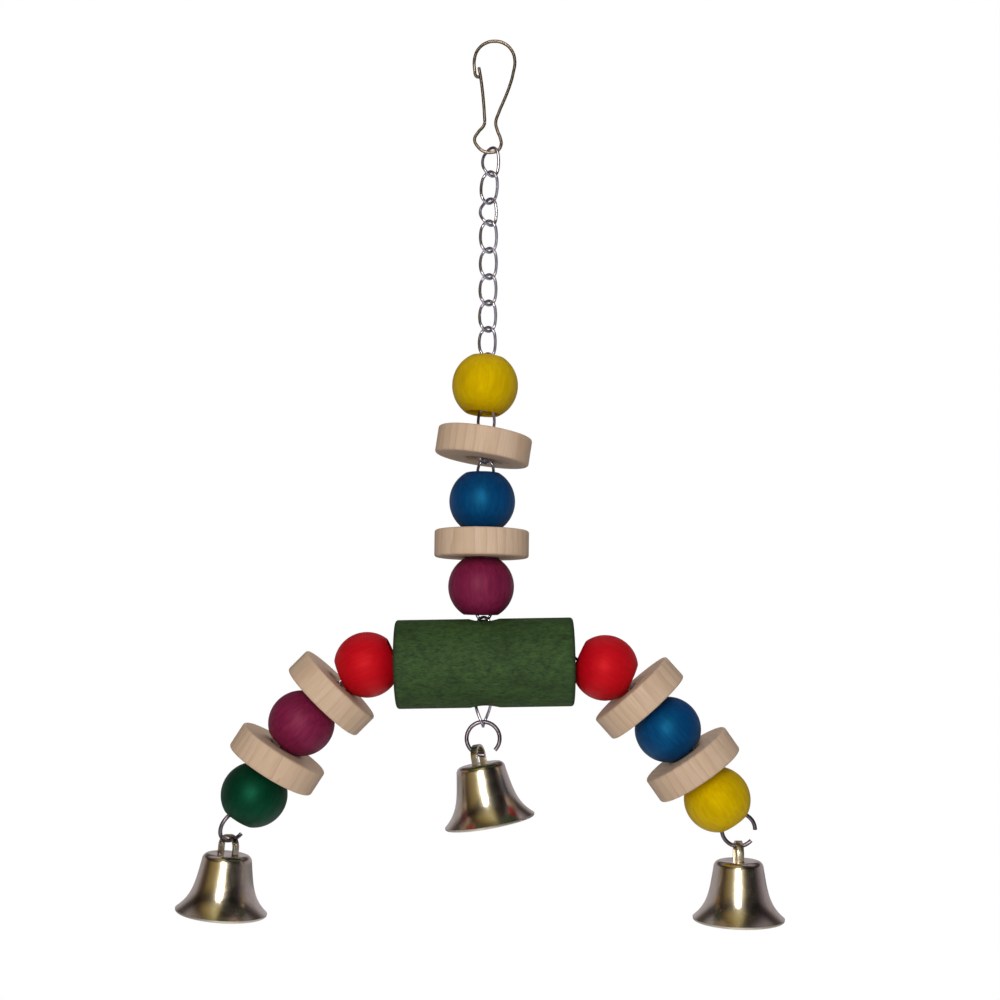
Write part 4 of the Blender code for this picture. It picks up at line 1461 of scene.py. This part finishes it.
@dataclass
class Studio:
    """The camera, the lights and the white surroundings."""

    aim: Vector = field(default_factory=lambda: Vector((0.0, 0.0, -0.15)))
    camera_place: tuple[float, float, float] = (0.0017, -0.381, -0.1837)
    lens_mm: float = 44.97
    sensor_mm: float = 36.0
    camera_rise: float = 0.145
    floor_height: float = -0.62
    floor_size: float = 6.0
    # Real paper fibres are finer. Drawn this coarse, they only vary the light off the floor a little.
    floor_grain_mm: float = 3.846
    ambient: float = 0.19
    ambient_colour: str = "#F4F4F6"
    boxes: tuple[SoftBox, ...] = (
        SoftBox("key_softbox", (-0.08, -0.74, -0.04), (0.14, 0.50), 4.4, "#FFFAF2"),
        SoftBox("fill_softbox", (0.55, -0.50, -0.05), (0.40, 0.50), 0.4, "#F4F6FF", False),
        SoftBox("top_softbox", (0.05, -0.10, 0.48), (0.50, 0.50), 0.7, "#FFFFFF", False),
        SoftBox("back_softbox", (0.20, 0.75, 0.10), (0.50, 0.50), 3.2, "#FFFFFF", False),
    )
    # The room that polished metal shows, from behind round by the left, the front and the right.
    walls: tuple[tuple[float, str], ...] = (
        (0.0, "#B8B2BA"), (0.19, "#A29BA0"), (0.25, "#5A4838"), (0.29, "#3A2C20"),
        (0.34, "#7E6A3E"), (0.417, "#A08E58"), (0.478, "#CFC59A"), (0.522, "#B7A970"),
        (0.550, "#3A3020"), (0.583, "#1A120E"), (0.64, "#1C1A10"), (0.686, "#2A2228"),
        (0.736, "#6A6068"), (0.806, "#9A929C"), (1.0, "#B8B2BA"),
    )
    # How the walls are tinted from straight down to straight up.
    heights: tuple[tuple[float, str], ...] = (
        (0.0, "#A8843C"), (0.36, "#FFFFFF"), (0.63, "#FFFFFF"), (0.72, "#6A5E58"),
        (0.80, "#5A4E4C"), (0.90, "#FFFFFF"), (1.0, "#FFFFFF"),
    )

    def camera(self) -> None:
        """Sets up the photo's viewpoint: level, a little right of the chain and below its middle."""
        bpy.ops.object.camera_add(location=self.camera_place, rotation=(math.pi / 2, 0, 0))
        camera = bpy.context.object
        camera.data.lens = self.lens_mm
        camera.data.sensor_width = self.sensor_mm
        camera.data.shift_y = self.camera_rise
        camera.data.clip_start = 0.01
        bpy.context.scene.camera = camera

    def lights(self) -> None:
        """Hangs the soft boxes, each facing the toy."""
        for box in self.boxes:
            bpy.ops.object.light_add(type="AREA", location=box.place)
            light = bpy.context.object
            light.name = box.name
            light.data.shape = "RECTANGLE"
            light.data.size, light.data.size_y = box.size
            light.data.energy = box.watts
            light.data.color = srgb(box.colour)[:3]
            light.visible_glossy = box.mirrored
            light.rotation_euler = (self.aim - light.location).to_track_quat("-Z", "Y").to_euler()

    @staticmethod
    def stops(tint: Any, stops: Sequence[tuple[float, str]]) -> Any:
        """Sets a ramp's colours.

        Args:
            tint: The ramp's output.
            stops: The place and colour of each stop.

        Returns:
            The same output.
        """
        elements = tint.node.color_ramp.elements
        while len(elements) < len(stops):
            elements.new(0.5)
        for element, (position, colour) in zip(elements, stops):
            element.position = position
            element.color = srgb(colour)
        return tint

    def world(self) -> None:
        """Surrounds the toy with white for the eye, a dim light, and a room for polished metal."""
        world = bpy.data.worlds.new("studio")
        bpy.context.scene.world = world
        world.use_nodes = True
        world.node_tree.nodes.clear()
        nodes = Nodes(world.node_tree)
        place = nodes.add(Kind.COORDINATES)["Generated"]
        x, y, z = nodes.add(Kind.SEPARATE, {0: place})
        front = nodes.add(Kind.MATHS, {0: y, 1: -1.0}, operation="MULTIPLY")[0]
        angle = nodes.add(Kind.MATHS, {0: x, 1: front}, operation="ARCTAN2")[0]
        turn = {"Value": angle, "From Min": -math.pi, "From Max": math.pi}
        rise = {"Value": z, "From Min": -1.0, "From Max": 1.0}
        around = nodes.add(Kind.RAMP, {0: nodes.add(Kind.RANGE, turn)[0]})[0]
        upward = nodes.add(Kind.RAMP, {0: nodes.add(Kind.RANGE, rise)[0]})[0]
        both = {0: 1.0, 6: self.stops(around, self.walls), 7: self.stops(upward, self.heights)}
        room = nodes.add(Kind.MIX, both, data_type="RGBA", blend_type="MULTIPLY")[2]
        shown = nodes.add(Kind.BACKGROUND, {"Color": room, "Strength": 1.0})[0]
        soft = {"Color": srgb(self.ambient_colour), "Strength": self.ambient}
        white = nodes.add(Kind.BACKGROUND, {"Color": srgb("#FFFFFF"), "Strength": 1.0})[0]
        path = nodes.add(Kind.LIGHT_PATH)
        lit = {0: path["Is Glossy Ray"], 1: nodes.add(Kind.BACKGROUND, soft)[0], 2: shown}
        seen = {0: path["Is Camera Ray"], 1: nodes.add(Kind.MIX_SHADER, lit)[0], 2: white}
        nodes.add(Kind.WORLD_OUTPUT, {"Surface": nodes.add(Kind.MIX_SHADER, seen)[0]})

    def floor(self) -> None:
        """Lays a plain pale floor well below the toy, of white paper that is plain white to the eye."""
        deselect()
        bpy.ops.mesh.primitive_plane_add(size=self.floor_size, location=(0, 0, self.floor_height))
        floor = bpy.context.object
        floor.name = "studio_floor"
        shader = Shader("white paper floor")
        place = shader.add(Kind.COORDINATES)["Object"]
        noise = {"Vector": place, "Scale": 1 / (self.floor_grain_mm * MM), "Detail": 3.0, "Roughness": 0.55}
        grain = shader.add(Kind.NOISE, noise)[0]
        shader.surface({
            "Base Color": shader.layer(srgb("#FAFAFA"), "#FFFFFF", grain, 0.3, 0.7),
            "Roughness": 0.95,
        })
        lit = shader.add(Kind.EMISSION, {"Color": srgb("#FFFFFF"), "Strength": 1.0})[0]
        eye = shader.add(Kind.LIGHT_PATH)["Is Camera Ray"]
        both = shader.add(Kind.MIX_SHADER, {0: eye, 1: shader.principled.outputs[0], 2: lit})[0]
        shader.feed(shader.tree.nodes["Material Output"], {"Surface": both})
        floor.data.materials.append(shader.material)

    def build(self) -> None:
        """Sets up everything round the toy."""
        bpy.context.scene.view_settings.view_transform = "Standard"
        self.camera()
        self.lights()
        self.world()
        self.floor()


def main() -> None:
    """Builds the toy and its studio."""
    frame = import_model()
    toy = Toy(frame)
    Hook(toy).build()
    Chain(toy).build()
    TurnedWood(toy).build()
    Rings(toy).build()
    for spot in Hanging:
        Bell(toy, spot).build()
    toy.drop_patterns()
    Studio().build()
    toy.report()


if __name__ == "__main__":
    main()
